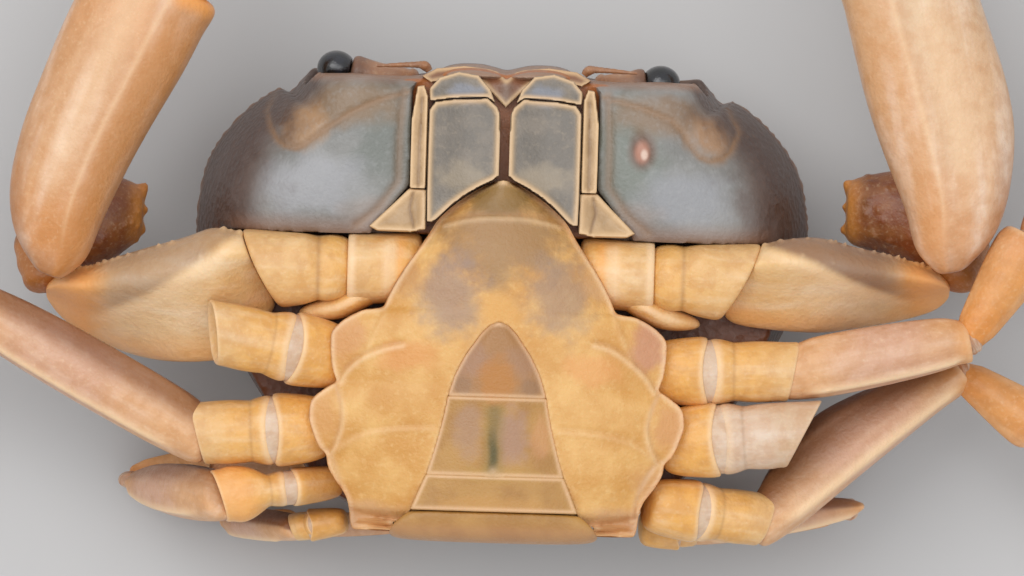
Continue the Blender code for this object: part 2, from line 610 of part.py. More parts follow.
def make_rear_plate():
    """The first plates of the tail flap, which bend round the rear down to the shell's margin."""
    rings = []
    points = [Vector((0, y, z)) for y, z, half in REAR_PATH]
    for i, (y, z, half) in enumerate(REAR_PATH):
        ahead = (points[min(i + 1, len(points) - 1)] - points[max(i - 1, 0)]).normalized()
        inward = Vector((0, -ahead.z, ahead.y))
        ring = []
        for share in (-1.0, -0.8, 0.0, 0.8, 1.0):
            ring.append(points[i] + Vector((share * half, 0, 0)) + inward * (0.25 * abs(share) ** 3))
        for share in (1.0, 0.0, -1.0):
            ring.append(points[i] + Vector((share * half, 0, 0)) + inward * REAR_THICKNESS)
        rings.append(ring)
    finish_mesh("somites_1_to_4", loft(rings), crab_parts, "breast")


def make_mouthparts():
    """The two door-like outer jaws, and the slim strip beside each."""
    floor = MOUTH_FLOOR_Z + GAP
    for side_name, side in (("left", -1), ("right", 1)):
        def level(y):
            share = (y - 4.7) / (13.25 - 4.7)
            return MAXILLIPED_REAR_Z + (MAXILLIPED_FRONT_Z - MAXILLIPED_REAR_Z) * share
        low_ring = [Vector((side * x, y, floor)) for x, y in MAXILLIPED_OUTLINE]
        high_ring = [Vector((side * x, y, level(y))) for x, y in MAXILLIPED_OUTLINE]
        finish_mesh(f"maxilliped_{side_name}", loft([low_ring, high_ring]), crab_parts, "mouthpart")
        rings = []
        for y, half in EXOPOD_ROWS:
            top = level(y) - 0.1
            section = [(-half, floor), (half, floor), (half, top - 0.2), (0.0, top), (-half, top - 0.2)]
            rings.append([Vector((side * (EXOPOD_X + x), y, z)) for x, z in section])
        strip = finish_mesh(f"exopod_{side_name}", loft(rings), crab_parts, "mouthpart")
        low_ring = [Vector((side * x, y, floor)) for x, y in COXAL_PLATE]
        high_ring = [Vector((side * x, y, level(y) - 0.3 - 0.12 * (x - 4.75))) for x, y in COXAL_PLATE]
        bridge = [(EXOPOD_X - 0.3, 7.3), (EXOPOD_X + 0.3, 7.3), (EXOPOD_X + 0.3, 6.0),
                  (EXOPOD_X - 0.3, 6.0)]
        tools = [cutter("coxal_plate", loft([low_ring, high_ring])),
                 cutter("bridge", prism([(side * x, y) for x, y in bridge], floor, level(7.0) - 0.6))]
        apply_boolean(strip, "UNION", tools)


def arm_piece(name, stations, side, section, shift_y=0.0, material="claw"):
    """A claw arm piece, lofted outwards through its stations."""
    rings = []
    for x, y, z, width, height, slant in stations:
        rings.append([Vector((side * (x + slant * across), y + shift_y + across, z + rise))
                      for across, rise in section(width, height)])
    return finish_mesh(name, loft(rings), crab_parts, material)


def claw_local(side_name, side, along, outward, up):
    """A point of the claw's hand, from the hand's own axes to the crab's."""
    lean = PALM_LEAN[side_name]
    base_x, base_y = PALM_BASE[side_name]
    x = base_x + outward * math.cos(lean) - along * math.sin(lean)
    y = base_y + outward * math.sin(lean) + along * math.cos(lean)
    return Vector((side * x, y, PALM_Z + up))


def hand_rings(side_name, side, rows):
    """Rings of the hand from rows of (along, outward, width, height)."""
    rings = []
    for along, outward, width, height in rows:
        section = round_section(width, height)
        rings.append([claw_local(side_name, side, along, outward + across, up)
                      for across, up in section])
    return rings


def teeth(side_name, side, rows, places, facing):
    """Blunt teeth on the cutting edge of a finger."""
    tools = []
    for along in places:
        k = max(i for i, row in enumerate(rows[:-1]) if row[0] <= along)
        near, far = rows[k], rows[k + 1]
        part = (along - near[0]) / (far[0] - near[0])
        middle = near[1] + (far[1] - near[1]) * part
        width = near[2] + (far[2] - near[2]) * part
        root = claw_local(side_name, side, along, middle + facing * 0.3 * width, 0.0)
        tip = claw_local(side_name, side, along, middle + facing * (0.5 * width + 0.42), 0.0)
        tools.append(cutter("tooth", cone(root, tip, TOOTH_SIZE)))
    return tools


def make_claw(side_name, side):
    """Coxa, ischium, merus, wrist, hand with its fixed finger, and the movable finger."""
    coxa = arm_piece(f"claw_coxa_{side_name}", CLAW_COXA, side, round_section)
    lobe = [[Vector((side * x, y + across, z + rise))
             for across, rise in round_section(width, height, 8)]
            for x, y, z, width, height, slant in CLAW_COXA_LOBE]
    apply_boolean(coxa, "UNION", [cutter("lobe", loft(lobe))])
    arm_piece(f"claw_ischium_{side_name}", CLAW_ISCHIUM, side, round_section)
    arm_piece(f"claw_merus_{side_name}", CLAW_MERUS[side_name], side, arm_section)
    shift = WRIST_SHIFT_Y[side_name]
    stations = CLAW_WRIST + CLAW_WRIST_MARGIN[side_name]
    wrist = arm_piece(f"claw_carpus_{side_name}", stations, side, round_section, shift)
    spines = []
    for root_x, root_y, tip_x, tip_y in WRIST_TEETH[side_name]:
        root = Vector((side * root_x, root_y, 7.5))
        tip = Vector((side * tip_x, tip_y, 7.7))
        spines.append(cutter("spine", cone(root, tip, WRIST_TOOTH_WIDTH)))
    apply_boolean(wrist, "UNION", spines)
    widths = PALM_WIDTHS[side_name]
    rows = [(along, bow, width, height) for (along, bow, height), width in zip(PALM_ROWS, widths)]
    hand = loft(hand_rings(side_name, side, rows + FINGER_ROWS))
    palm = finish_mesh(f"claw_palm_{side_name}", hand, crab_parts, "claw")
    apply_boolean(palm, "UNION", teeth(side_name, side, FINGER_ROWS, FINGER_TEETH, -1.0))
    thumb = loft(hand_rings(side_name, side, THUMB_ROWS))
    finger = finish_mesh(f"claw_dactylus_{side_name}", thumb, crab_parts, "claw")
    apply_boolean(finger, "UNION", teeth(side_name, side, THUMB_ROWS, THUMB_TEETH, 1.0))


def centre_on_floor():
    """Move every piece so that the crab's box is centred on the origin and stands on z = 0."""
    corners = [vert.co for made in crab_parts.objects for vert in made.data.vertices]
    low = [min(co[axis] for co in corners) for axis in range(3)]
    high = [max(co[axis] for co in corners) for axis in range(3)]
    shift = Vector((-0.5 * (low[0] + high[0]), -0.5 * (low[1] + high[1]), -low[2]))
    for made in crab_parts.objects:
        made.location = shift


make_carapace()
make_eyes()
make_antennae()
make_sternum()
flap_plate("telson", TELSON_ROWS)
flap_plate("somite_6", SOMITE_6_ROWS)
flap_plate("somite_5", SOMITE_5_ROWS)
make_rear_plate()
make_mouthparts()
make_claw("left", -1)
make_claw("right", 1)
for leg_name, leg in LEGS.items():
    walking_leg(leg_name, **leg)
for leg_name, leg in STUMPS.items():
    stump(leg_name, **leg)
centre_on_floor()
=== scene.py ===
# Freshwater crab, an adult male lying on its back: the looks of the still, life-size model.
#
# Pieces are modelled in millimetres on the crab's own axes and brought to their real place
# and size when they are finished. +Y is the front of the head, +Z points up through the
# breast, "left" is the -X side, and the back of the shell rests on the floor at z = 0.

import math

import bpy
import numpy as np
from mathutils import Matrix, Vector


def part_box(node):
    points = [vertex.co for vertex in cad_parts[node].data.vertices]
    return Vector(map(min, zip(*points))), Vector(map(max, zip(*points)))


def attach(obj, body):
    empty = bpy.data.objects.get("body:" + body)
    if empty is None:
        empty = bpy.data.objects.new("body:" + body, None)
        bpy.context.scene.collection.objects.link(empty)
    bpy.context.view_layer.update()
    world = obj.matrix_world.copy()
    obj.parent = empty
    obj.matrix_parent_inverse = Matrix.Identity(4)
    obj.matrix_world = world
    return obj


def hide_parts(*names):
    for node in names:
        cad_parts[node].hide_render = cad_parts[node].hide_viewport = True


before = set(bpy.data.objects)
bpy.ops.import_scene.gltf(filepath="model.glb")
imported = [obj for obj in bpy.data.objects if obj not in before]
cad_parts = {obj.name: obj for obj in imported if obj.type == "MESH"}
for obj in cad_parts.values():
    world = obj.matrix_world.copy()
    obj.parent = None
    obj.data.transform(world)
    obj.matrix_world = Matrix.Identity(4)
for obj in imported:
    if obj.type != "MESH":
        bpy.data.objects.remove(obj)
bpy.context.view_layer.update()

MM = 0.001
GAP = 0.3                        # space kept between the solids of neighbouring pieces
FAR = 40.0                       # past every piece, for what only cuts
SIDES = (("left", -1), ("right", 1))
CARAPACE_FRONT_Y = 14.65         # the shell's foremost point on the crab's own axes
shell_low, shell_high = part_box("carapace")
SHIFT = Vector(((shell_low.x + shell_high.x) / 2.0, shell_high.y - CARAPACE_FRONT_Y * MM, 0.0))

# Camera: straight down on the belly

LENS = 400.0
SENSOR = 36.0
FRAME_WIDTH = 62.8               # width of the view at the height of the limbs
FRAME_CENTRE = (0.71, 0.88)
FOCUS_Z = 13.0
TURN = math.radians(1.7)


def set_camera():
    """Look straight down, turned a little, so that the crab's axis leans to the right."""
    data = bpy.data.cameras.new("camera")
    data.lens = LENS
    data.sensor_width = SENSOR
    data.clip_start = 0.01
    data.clip_end = 10.0
    camera = bpy.data.objects.new("camera", data)
    bpy.context.scene.collection.objects.link(camera)
    height = FOCUS_Z + FRAME_WIDTH * LENS / SENSOR
    camera.location = Vector((FRAME_CENTRE[0], FRAME_CENTRE[1], height)) * MM + SHIFT
    camera.rotation_euler = (0.0, 0.0, TURN)
    bpy.context.scene.camera = camera


set_camera()


# Shader maths

def tint(code):
    """A display colour such as "e5b775" as linear red, green, blue and one."""
    channels = [int(code[i:i + 2], 16) / 255.0 for i in (0, 2, 4)]
    return [c / 12.92 if c <= 0.04045 else ((c + 0.055) / 1.055) ** 2.4 for c in channels] + [1.0]


class Reading:
    """A shader socket that takes part in sums and products as a number does."""

    def __init__(self, paint, socket):
        self.paint = paint
        self.socket = socket

    def maths(self, operation, first, second=0.0):
        return self.paint.node("ShaderNodeMath", {"operation": operation}, {0: first, 1: second})

    def __add__(self, other):
        return self.maths("ADD", self, other)

    def __sub__(self, other):
        return self.maths("SUBTRACT", self, other)

    def __rsub__(self, other):
        return self.maths("SUBTRACT", other, self)

    def __mul__(self, other):
        return self.maths("MULTIPLY", self, other)

    def __abs__(self):
        return self.maths("ABSOLUTE", self)

    __radd__ = __add__
    __rmul__ = __mul__


class Paint:
    """One finish being mixed: its nodes, and the readings that patterns are built on."""

    def __init__(self, name):
        self.material = bpy.data.materials.new(name)
        self.material.use_nodes = True
        self.tree = self.material.node_tree
        self.shader = self.tree.nodes["Principled BSDF"]
        here = self.node("ShaderNodeTexCoord", {}, {}, "Object")
        self.place = self.vector("MULTIPLY_ADD", here, [1.0 / MM] * 3, [-part / MM for part in SHIFT])
        split = self.node("ShaderNodeSeparateXYZ", {}, {0: self.place})
        self.x, self.y, self.z = [Reading(self, output) for output in split.socket.node.outputs]

    def node(self, kind, settings, values, output=0):
        """Add a node: its settings first, then the value or link of each named socket."""
        made = self.tree.nodes.new(kind)
        for name, setting in settings.items():
            setattr(made, name, setting)
        for name, value in values.items():
            if isinstance(value, Reading):
                self.tree.links.new(value.socket, made.inputs[name])
            else:
                made.inputs[name].default_value = value
        return Reading(self, made.outputs[output])

    def vector(self, operation, *values, output=0):
        return self.node("ShaderNodeVectorMath", {"operation": operation}, dict(enumerate(values)), output)

    def mark(self, name):
        """A number stored on the piece, such as its rims."""
        return self.node("ShaderNodeAttribute", {"attribute_name": name}, {}, "Fac")

    def lay(self):
        """The point's place on the limb piece's own axes, along it first, in millimetres."""
        return self.node("ShaderNodeAttribute", {"attribute_name": "lay"}, {}, "Vector")

    def noise(self, scale, detail=3.0, where=None, stretch=None):
        where = where or self.place
        if stretch:
            where = self.vector("MULTIPLY", where, stretch)
        return self.node("ShaderNodeTexNoise", {}, {"Vector": where, "Scale": scale, "Detail": detail})

    def cells(self, scale):
        return self.node("ShaderNodeTexVoronoi", {}, {"Vector": self.place, "Scale": scale}, "Distance")

    def step(self, value, low, high, start=0.0, end=1.0):
        """Smoothly from start to end as a value goes from low to high."""
        return self.node("ShaderNodeMapRange", {"interpolation_type": "SMOOTHSTEP"},
                         {0: value, 1: low, 2: high, 3: start, 4: end})

    def blob(self, x, y, reach_x, reach_y, ragged=None):
        """One inside an oval patch seen from above, fading to nothing at its edge."""
        away = self.vector("SUBTRACT", self.place, (x, y, 0.0))
        eased = self.vector("MULTIPLY", away, (1.0 / reach_x, 1.0 / reach_y, 0.0))
        far = self.vector("LENGTH", eased, output="Value")
        if ragged:
            far = far + (ragged - 0.5)
        return self.step(far, 0.35, 1.0, 1.0, 0.0)

    def mix(self, amount, first, second):
        """First colour to second as the amount goes from nought to one."""
        first, second = [tint(shade) if isinstance(shade, str) else shade for shade in (first, second)]
        return self.node("ShaderNodeMix", {"data_type": "RGBA"}, {0: amount, 6: first, 7: second}, 2)

    def over(self, amount, shade):
        """Lay a colour over the finish where the amount is one."""
        self.colour = self.mix(amount, self.colour, shade)

    def finish(self, roughness, bump, depth, coat=0.0, specular=0.5, light_through=0.0):
        """Join the colour, the roughness and the relief to the shader."""
        relief = self.node("ShaderNodeBump", {}, {"Strength": 1.0, "Distance": depth * MM, "Height": bump})
        for name, reading in (("Base Color", self.colour), ("Roughness", roughness), ("Normal", relief)):
            self.tree.links.new(reading.socket, self.shader.inputs[name])
        for name, value in (("Coat Weight", coat), ("Coat Roughness", 0.25), ("Specular IOR Level", specular),
                            ("Subsurface Weight", light_through), ("Subsurface Radius", (1.0, 0.5, 0.25)),
                            ("Subsurface Scale", 0.6 * MM)):
            self.shader.inputs[name].default_value = value
        return self.material


# Finishes. Each patch is (x, y, reach across, reach along, colour, strength).

RIM_CREAM = "f6d3a8"
SEAM_BROWN = "7d4a22"


def patched(paint, patches, ragged):
    for x, y, reach_x, reach_y, shade, strength in patches:
        paint.over(paint.blob(x, y, reach_x, reach_y, ragged) * strength, shade)


def rims_and_seams(paint, rim=RIM_CREAM, seam=SEAM_BROWN, rim_strength=0.85, seam_strength=0.75):
    paint.over(paint.mark("rim") * rim_strength, rim)
    paint.over(paint.mark("seam") * seam_strength, seam)


def breast_finish():
    """Ochre breast shell: cloudy mauve patches, a greyer front, pinker lobes and rear edge."""
    paint = Paint("breast_shell")
    clouds = paint.noise(0.35, 4.0)
    fine = paint.noise(3.2, 3.0)
    paint.colour = paint.mix(paint.step(clouds, 0.35, 0.68), "cf9549", "e4b36c")
    paint.over(paint.step(fine, 0.5, 0.75) * 0.28, "ecc68a")
    ragged = paint.noise(0.8, 3.0)
    patches = [(0.0, 4.0, 5.6, 4.2, "9c7850", 0.85), (0.0, 6.3, 3.2, 1.6, "866530", 0.85),
               (-3.1, 0.4, 2.8, 3.4, "957c70", 0.7), (3.7, 0.5, 2.9, 3.3, "9c8270", 0.65),
               (0.0, -0.6, 1.5, 1.5, "dda65a", 0.75), (-9.3, -2.4, 1.6, 2.3, "d09462", 0.6),
               (9.1, -2.4, 1.6, 2.3, "c0856a", 0.75), (-10.8, -7.2, 1.5, 2.3, "d39a5e", 0.6),
               (10.7, -7.3, 1.5, 2.4, "cd8f58", 0.75), (9.6, -11.0, 1.6, 1.9, "d09a66", 0.6),
               (-5.5, -3.4, 2.6, 1.3, "dd9350", 0.5), (5.7, -4.1, 2.4, 1.2, "dd9350", 0.5),
               (-6.2, 1.6, 2.2, 1.8, "bf8a54", 0.75), (6.4, 1.4, 2.0, 1.6, "d3a068", 0.6),
               (-8.0, -13.2, 3.4, 1.1, "c89a72", 0.6), (7.6, -13.2, 3.4, 1.1, "c69a76", 0.6)]
    patched(paint, patches, ragged)
    side = paint.step(paint.z, 15.4, 16.6, 1.0, 0.0)
    paint.over(side * 0.55, "a9682f")
    rims_and_seams(paint, seam="a86c3c", seam_strength=0.7)
    rough = paint.step(fine, 0.2, 0.8, 0.36, 0.52)
    grain = paint.noise(6.5, 4.0) * 0.6 + paint.cells(2.4) * 0.4
    return paint.finish(rough, grain, 0.07, coat=0.12, light_through=0.06)


def flap_finish():
    """Tail flap: brown-purple tip, beige plates with cream rims and the gut's green line."""
    paint = Paint("flap_shell")
    clouds = paint.noise(0.5, 4.0)
    fine = paint.noise(3.6, 3.0)
    ragged = paint.noise(1.1, 3.0)
    paint.colour = paint.mix(paint.step(clouds, 0.35, 0.65), "a87838", "b88946")
    tip = paint.step(paint.y, -6.3, -5.3)
    paint.over(tip * 0.9, "a67749")
    patches = [(-1.5, -3.6, 1.5, 1.5, "a37a5e", 0.7), (1.6, -3.6, 1.5, 1.5, "a67c5c", 0.7),
               (-2.1, -5.2, 0.9, 0.8, "8f6b4c", 0.6), (2.0, -5.2, 0.9, 0.8, "8f6b4c", 0.6),
               (0.0, -4.9, 1.7, 1.9, "b8782c", 0.75), (0.9, -8.2, 1.5, 2.6, "a98678", 0.55),
               (-1.7, -7.9, 1.3, 2.4, "ab876f", 0.55), (2.7, -8.2, 0.8, 2.0, "cf9364", 0.5),
               (0.0, -10.5, 3.2, 0.8, "b78c40", 0.6), (0.0, -12.4, 4.6, 0.8, "c28e48", 0.6)]
    patched(paint, patches, ragged)
    sway = (paint.noise(0.9, 2.0) - 0.5) * 0.35
    line = abs(paint.x + 0.16 + sway)
    run = paint.step(paint.y, -11.0, -10.0) * paint.step(paint.y, -6.6, -6.0, 1.0, 0.0)
    darkest = paint.step(paint.y, -11.2, -9.4) * paint.step(paint.y, -9.2, -7.2, 1.0, 0.0)
    paint.over(paint.step(line, 0.15, 0.95, 1.0, 0.0) * run * 0.7, "8f7436")
    paint.over(paint.step(line, 0.05, 0.46, 1.0, 0.0) * run * (darkest * 0.6 + 0.25), "47420f")
    rear = paint.step(paint.y, -14.1, -13.2, 1.0, 0.0)
    paint.over(rear * 0.4, "c39172")
    rims_and_seams(paint, rim="edc399", seam="8d5a34", rim_strength=0.7)
    rough = paint.step(fine, 0.2, 0.8, 0.36, 0.5)
    grain = paint.noise(6.5, 4.0) * 0.7 + fine * 0.3
    return paint.finish(rough, grain, 0.06, coat=0.12, light_through=0.06)


def shell_finish():
    """Main shell: blue-grey cheeks, purple-brown sides, and a dark olive-brown back."""
    paint = Paint("main_shell")
    clouds = paint.noise(0.28, 4.0)
    fine = paint.noise(2.6, 4.0)
    ragged = paint.noise(0.5, 3.0)
    paint.colour = paint.mix(paint.step(clouds, 0.3, 0.7), "797874", "92918e")
    patches = [(-7.0, 9.6, 3.2, 4.4, "6c716a", 0.75), (7.4, 9.2, 3.2, 4.6, "73796f", 0.8),
               (-9.6, 11.8, 4.4, 2.0, "856a4c", 0.85), (9.8, 11.6, 4.2, 1.9, "8a6f55", 0.8),
               (-11.6, 6.9, 4.4, 2.6, "9c9c9f", 0.8), (11.2, 6.4, 4.2, 2.4, "939498", 0.8),
               (-12.4, 10.6, 2.0, 2.1, "b08962", 0.85), (12.7, 10.4, 2.0, 2.1, "aa8360", 0.85),
               (-8.2, 5.4, 2.4, 1.2, "9b8a80", 0.5), (8.2, 5.4, 2.4, 1.2, "9b8a80", 0.5)]
    patched(paint, patches, ragged)
    paint.over(paint.step(fine, 0.45, 0.8) * 0.22, "b3b3b2")
    out = abs(paint.x)
    flank = paint.step(paint.z + (ragged - 0.5) * 5.0, 15.2, 12.2)
    edge = paint.step(out + (ragged - 0.5) * 4.0 + paint.step(paint.y, 8.0, 13.0) * 1.6, 13.6, 16.4)
    paint.over(edge * 0.85, "63524c")
    paint.over(flank * 0.92, "4d382f")
    paint.over(paint.step(fine, 0.56, 0.8) * flank * 0.4, "80624f")
    # Painted shade: darker brown on the wall where the cheeks drop into the hollow under the breast.
    lip = paint.step(paint.y, 5.4, 4.1) * paint.step(paint.z, 12.0, 14.0)
    paint.over(lip * 0.55, "8a6249")
    back = paint.step(paint.z, 8.3, 6.6)
    mottle = paint.mix(paint.step(paint.noise(0.75, 5.0), 0.35, 0.65), "4a3527", "6b5140")
    mottle = paint.mix(paint.step(paint.noise(2.2, 4.0), 0.55, 0.75) * 0.6, mottle, "8a6a4c")
    paint.over(back, mottle)
    face = paint.step(paint.y, 13.0, 13.7) * paint.step(paint.z, 8.5, 10.5)
    paint.over(face * 0.7, "a87b5b")
    # Painted shade: the floor of the hollow under the breast is dark reddish brown, as the gaps between the
    # leg bases look in shadow.
    hollow = paint.step(paint.z, 11.2, 11.4) * paint.step(paint.z, 11.9, 11.6) * paint.step(paint.y, 4.3, 3.9)
    paint.over(hollow * 0.9, "7c4420")
    pit = paint.step(paint.z, 14.0, 14.25) * paint.step(paint.z, 14.8, 14.6)
    paint.over(pit * paint.step(out, 6.4, 6.0) * 0.95, "b06a38")
    scar = paint.blob(8.43, 9.46, 1.15, 1.5)
    paint.over(scar * 0.85, "6e4a38")
    paint.over(paint.blob(8.4, 9.4, 0.62, 0.95) * 0.9, "b98570")
    # A small painted highlight, off the middle of the scar's pale centre.
    paint.over(paint.blob(8.55, 9.25, 0.3, 0.45) * 0.9, "dcc0ae")
    rims_and_seams(paint, rim="c08d68", seam="93704f", rim_strength=0.6, seam_strength=0.75)
    rough = paint.step(fine, 0.2, 0.8, 0.34, 0.5)
    grain = paint.noise(5.0, 4.0) * 0.5 + paint.cells(2.0) * flank * 0.9 + paint.cells(1.3) * back * 1.2
    return paint.finish(rough, grain, 0.09, coat=0.15)


def mouth_finish(name, dark, light, low_tint):
    """Outer jaws: plates framed by cream raised rims, browner low between them."""
    paint = Paint(name)
    clouds = paint.noise(0.7, 4.0)
    fine = paint.noise(3.5, 4.0)
    paint.colour = paint.mix(paint.step(clouds, 0.35, 0.68), dark, light)
    paint.over(paint.step(fine, 0.5, 0.8) * 0.25, "b3a48f")
    ragged = paint.noise(1.2, 3.0)
    patches = [(-2.4, 12.6, 1.6, 0.9, "8b8f9a", 0.7), (2.4, 12.6, 1.6, 0.9, "8b8f9a", 0.7),
               (-2.5, 7.6, 2.2, 1.2, "a3937c", 0.6), (2.5, 7.6, 2.2, 1.2, "a3937c", 0.6)]
    patched(paint, patches, ragged)
    low = paint.step(paint.z, 15.6, 14.9)
    paint.over(low * 0.8, low_tint)
    rims_and_seams(paint, rim="e2bd8f", seam="5b3620", rim_strength=0.8)
    rough = paint.step(fine, 0.2, 0.8, 0.34, 0.48)
    grain = paint.noise(6.0, 4.0) * 0.7 + paint.cells(3.0) * 0.3
    return paint.finish(rough, grain, 0.06, coat=0.15)


def limb_finish(name, near, middle, far, under, streak, rim_strength=0.9, streak_strength=0.45,
                dapple_strength=0.28, streak_size=1.0):
    """Limb shell: colours from the near to the far end, pale streaks along it, a darker lower side and
    painted shade.
    """
    paint = Paint(name)
    lay = paint.lay()
    share = paint.mark("share")
    wander = (paint.noise(0.55, 3.0) - 0.5) * 0.35
    paint.colour = paint.mix(paint.step(share + wander, 0.1, 0.45), near, middle)
    paint.over(paint.step(share + wander, 0.62, 0.96), far)
    lines = paint.noise(streak_size, 4.0, lay, (0.22, 1.5, 1.5))
    paint.over(paint.step(lines, 0.4, 0.78) * streak_strength, streak)
    dapple = paint.noise(1.1, 4.0)
    paint.over(paint.step(dapple, 0.35, 0.62, dapple_strength, 0.0), "b6763a")
    fine = paint.noise(4.0, 4.0)
    paint.over(paint.step(fine, 0.5, 0.85) * 0.25, "f7dcb6")
    # The shade mark darkens the side that faces the crab's back, its own darker colour, and also carries
    # painted shade where other parts shadow a face.
    paint.over(paint.mark("shade") * 0.85, under)
    paint.over(paint.mark("warm") * 0.9, "f8a64e")
    paint.over(paint.mark("horn") * 0.95, "3d2414")
    rims_and_seams(paint, rim_strength=rim_strength)
    rough = paint.step(fine, 0.2, 0.8, 0.34, 0.5)
    grain = paint.noise(5.5, 4.0) * 0.6 + lines * 0.3 + paint.cells(2.6) * 0.3
    return paint.finish(rough, grain, 0.07, coat=0.12, light_through=0.06)


def membrane_finish():
    """The soft skin of the joints: pale greyish pink and finely wrinkled."""
    paint = Paint("joint_skin")
    lines = paint.noise(2.4, 4.0, paint.lay(), (2.2, 0.5, 0.5))
    paint.colour = paint.mix(paint.step(lines, 0.35, 0.68), "b48a6c", "d6bca4")
    paint.over(paint.step(paint.noise(0.9, 3.0), 0.4, 0.65) * 0.6, "c47a40")
    rims_and_seams(paint)
    rough = paint.step(lines, 0.2, 0.8, 0.4, 0.6)
    return paint.finish(rough, lines, 0.12, coat=0.1, light_through=0.1)


def eye_finish():
    """The dark, wet cornea with its fine net of facets."""
    paint = Paint("eye_cornea")
    net = paint.cells(9.0)
    paint.colour = paint.mix(paint.step(paint.noise(1.2, 3.0), 0.4, 0.7), "0b0b0d", "20222b")
    rough = paint.step(net, 0.0, 0.6, 0.1, 0.2)
    return paint.finish(rough, net, 0.012, coat=0.7)


def floor_finish():
    """A plain pale grey studio floor."""
    paint = Paint("studio_floor")
    speck = paint.noise(0.05, 3.0)
    paint.colour = paint.mix(speck, "c3c3c3", "c6c6c6")
    rough = paint.step(speck, 0.3, 0.7, 0.82, 0.9)
    return paint.finish(rough, speck, 0.02, specular=0.1)


FINISHES = {
    "breast": breast_finish(), "flap": flap_finish(), "shell": shell_finish(),
    "mouth": mouth_finish("mouth_shell", "6e675e", "80766a", "8a5230"),
    "strip": mouth_finish("mouth_side_shell", "ab8a62", "c3a27a", "a06a3c"),
    "leg": limb_finish("leg_shell", "dca877", "d3a486", "d49e6c", "74401f", "eecdb0"),
    "base": limb_finish("leg_base_shell", "e8ac58", "e6ae60", "e2b477", "9a6430", "f5dcb8",
                        streak_strength=0.35),
    "lens": limb_finish("leg_joint_lens", "d0b294", "d8bba0", "cfae8c", "8c6a52", "eadaca", rim_strength=0.5),
    "knee": limb_finish("leg_knee_shell", "dc8e40", "db9650", "d8955a", "7a4a2c", "edc090", streak_size=0.6),
    "shank": limb_finish("leg_shank_shell", "d2864a", "cc9a74", "d6945a", "6f4c36", "eac8aa"),
    "stalk": limb_finish("eye_stalk_shell", "96684a", "a3785c", "8a6450", "5c4034", "c09a80"),
    "claw": limb_finish("claw_shell", "d08d52", "cd9869", "d49a68", "7c4f34", "ecccb2", streak_strength=0.75,
                        streak_size=0.42),
    "pale_claw": limb_finish("right_claw_shell", "daa274", "d9b089", "d6b592", "80543a", "f6e0cc",
                             streak_strength=0.75, streak_size=0.42),
    "arm": limb_finish("claw_arm_shell", "e8bd82", "ecc898", "eeb068", "785040", "f8e6ca",
                       dapple_strength=0.12, streak_size=0.6),
    # The wrist's dark brown middle is partly its own colour and partly painted shade, for the shadow of the
    # palm above it; the skins beside the wrist take this finish too, as painted shade in the gaps there.
    "wrist": limb_finish("claw_wrist_shell", "b06c2e", "643a1e", "924c24", "4a2c1c", "a8703e",
                         streak_size=0.6),
    "membrane": membrane_finish(), "eye": eye_finish(),
}

# Modelling tools

# Numbers stored on each piece; "shade" holds both the darker colour of the lower side and painted shade.
MARKS = ("rim", "seam", "share", "shade", "warm", "horn")
RING_SWELL = 1.045               # a subdivided twelve-sided ring draws in by about this much
LIMB_CREASE = 50.0               # degrees past which an edge stays sharp
PLATE_CREASE = 60.0


def alone(piece=None):
    """Leave edit mode and select one piece, or none."""
    if bpy.context.object and bpy.context.object.mode != "OBJECT":
        bpy.ops.object.mode_set(mode="OBJECT")
    bpy.ops.object.select_all(action="DESELECT")
    if piece:
        piece.select_set(True)
        bpy.context.view_layer.objects.active = piece


def modify(piece, kind, **settings):
    """Put one modifier on a piece and apply it."""
    alone(piece)
    modifier = piece.modifiers.new(kind.lower(), kind)
    for name, value in settings.items():
        setattr(modifier, name, value)
    bpy.ops.object.modifier_apply(modifier=modifier.name)


def open_up(piece):
    """Open a piece in edit mode with all of it selected."""
    alone(piece)
    bpy.ops.object.mode_set(mode="EDIT")
    bpy.ops.mesh.select_all(action="SELECT")


def close_up(piece):
    """Turn every face of a closed piece outwards."""
    open_up(piece)
    bpy.ops.mesh.normals_make_consistent(inside=False)
    bpy.ops.object.mode_set(mode="OBJECT")


def subdivide(piece, levels=2):
    modify(piece, "SUBSURF", levels=levels, render_levels=levels)


def even_faces(piece, size, soften):
    """Rebuild a piece in small even faces and soften its edges."""
    modify(piece, "REMESH", mode="VOXEL", voxel_size=size)
    modify(piece, "SMOOTH", factor=0.5, iterations=soften)


def oval(sides=12, fullness=0.86):
    """A unit section, as (side, up), a little fuller than an ellipse."""
    points = []
    for i in range(sides):
        angle = 2.0 * math.pi * (i + 0.5) / sides
        parts = [math.copysign(abs(part) ** fullness, part) for part in (math.cos(angle), math.sin(angle))]
        points.append(tuple(0.5 * part * RING_SWELL for part in parts))
    return points


# A claw's upper arm has a ridge, a steep front face and a long sloping face.
ARM_SECTION = [
    (0.52, -0.05), (0.5, 0.2), (0.4, 0.42), (0.22, 0.55), (0.08, 0.36), (-0.1, 0.1), (-0.32, -0.12),
    (-0.54, -0.3), (-0.44, -0.46), (-0.1, -0.55), (0.22, -0.5), (0.42, -0.32)]


def smooth_rows(rows, steps):
    """More rows between the given ones, on smooth curves through them."""
    rows = [np.array(row, float) for row in rows]
    made = []
    for i, (start, end) in enumerate(zip(rows, rows[1:])):
        before = rows[max(i - 1, 0)]
        after = rows[min(i + 2, len(rows) - 1)]
        bend = 2 * before - 5 * start + 4 * end - after
        twist = 3 * start - before - 3 * end + after
        for step in range(steps):
            t = step / steps
            made.append(0.5 * (2 * start + (end - before) * t + bend * t ** 2 + twist * t ** 3))
    made.append(rows[-1])
    return [tuple(float(value) for value in row) for row in made]


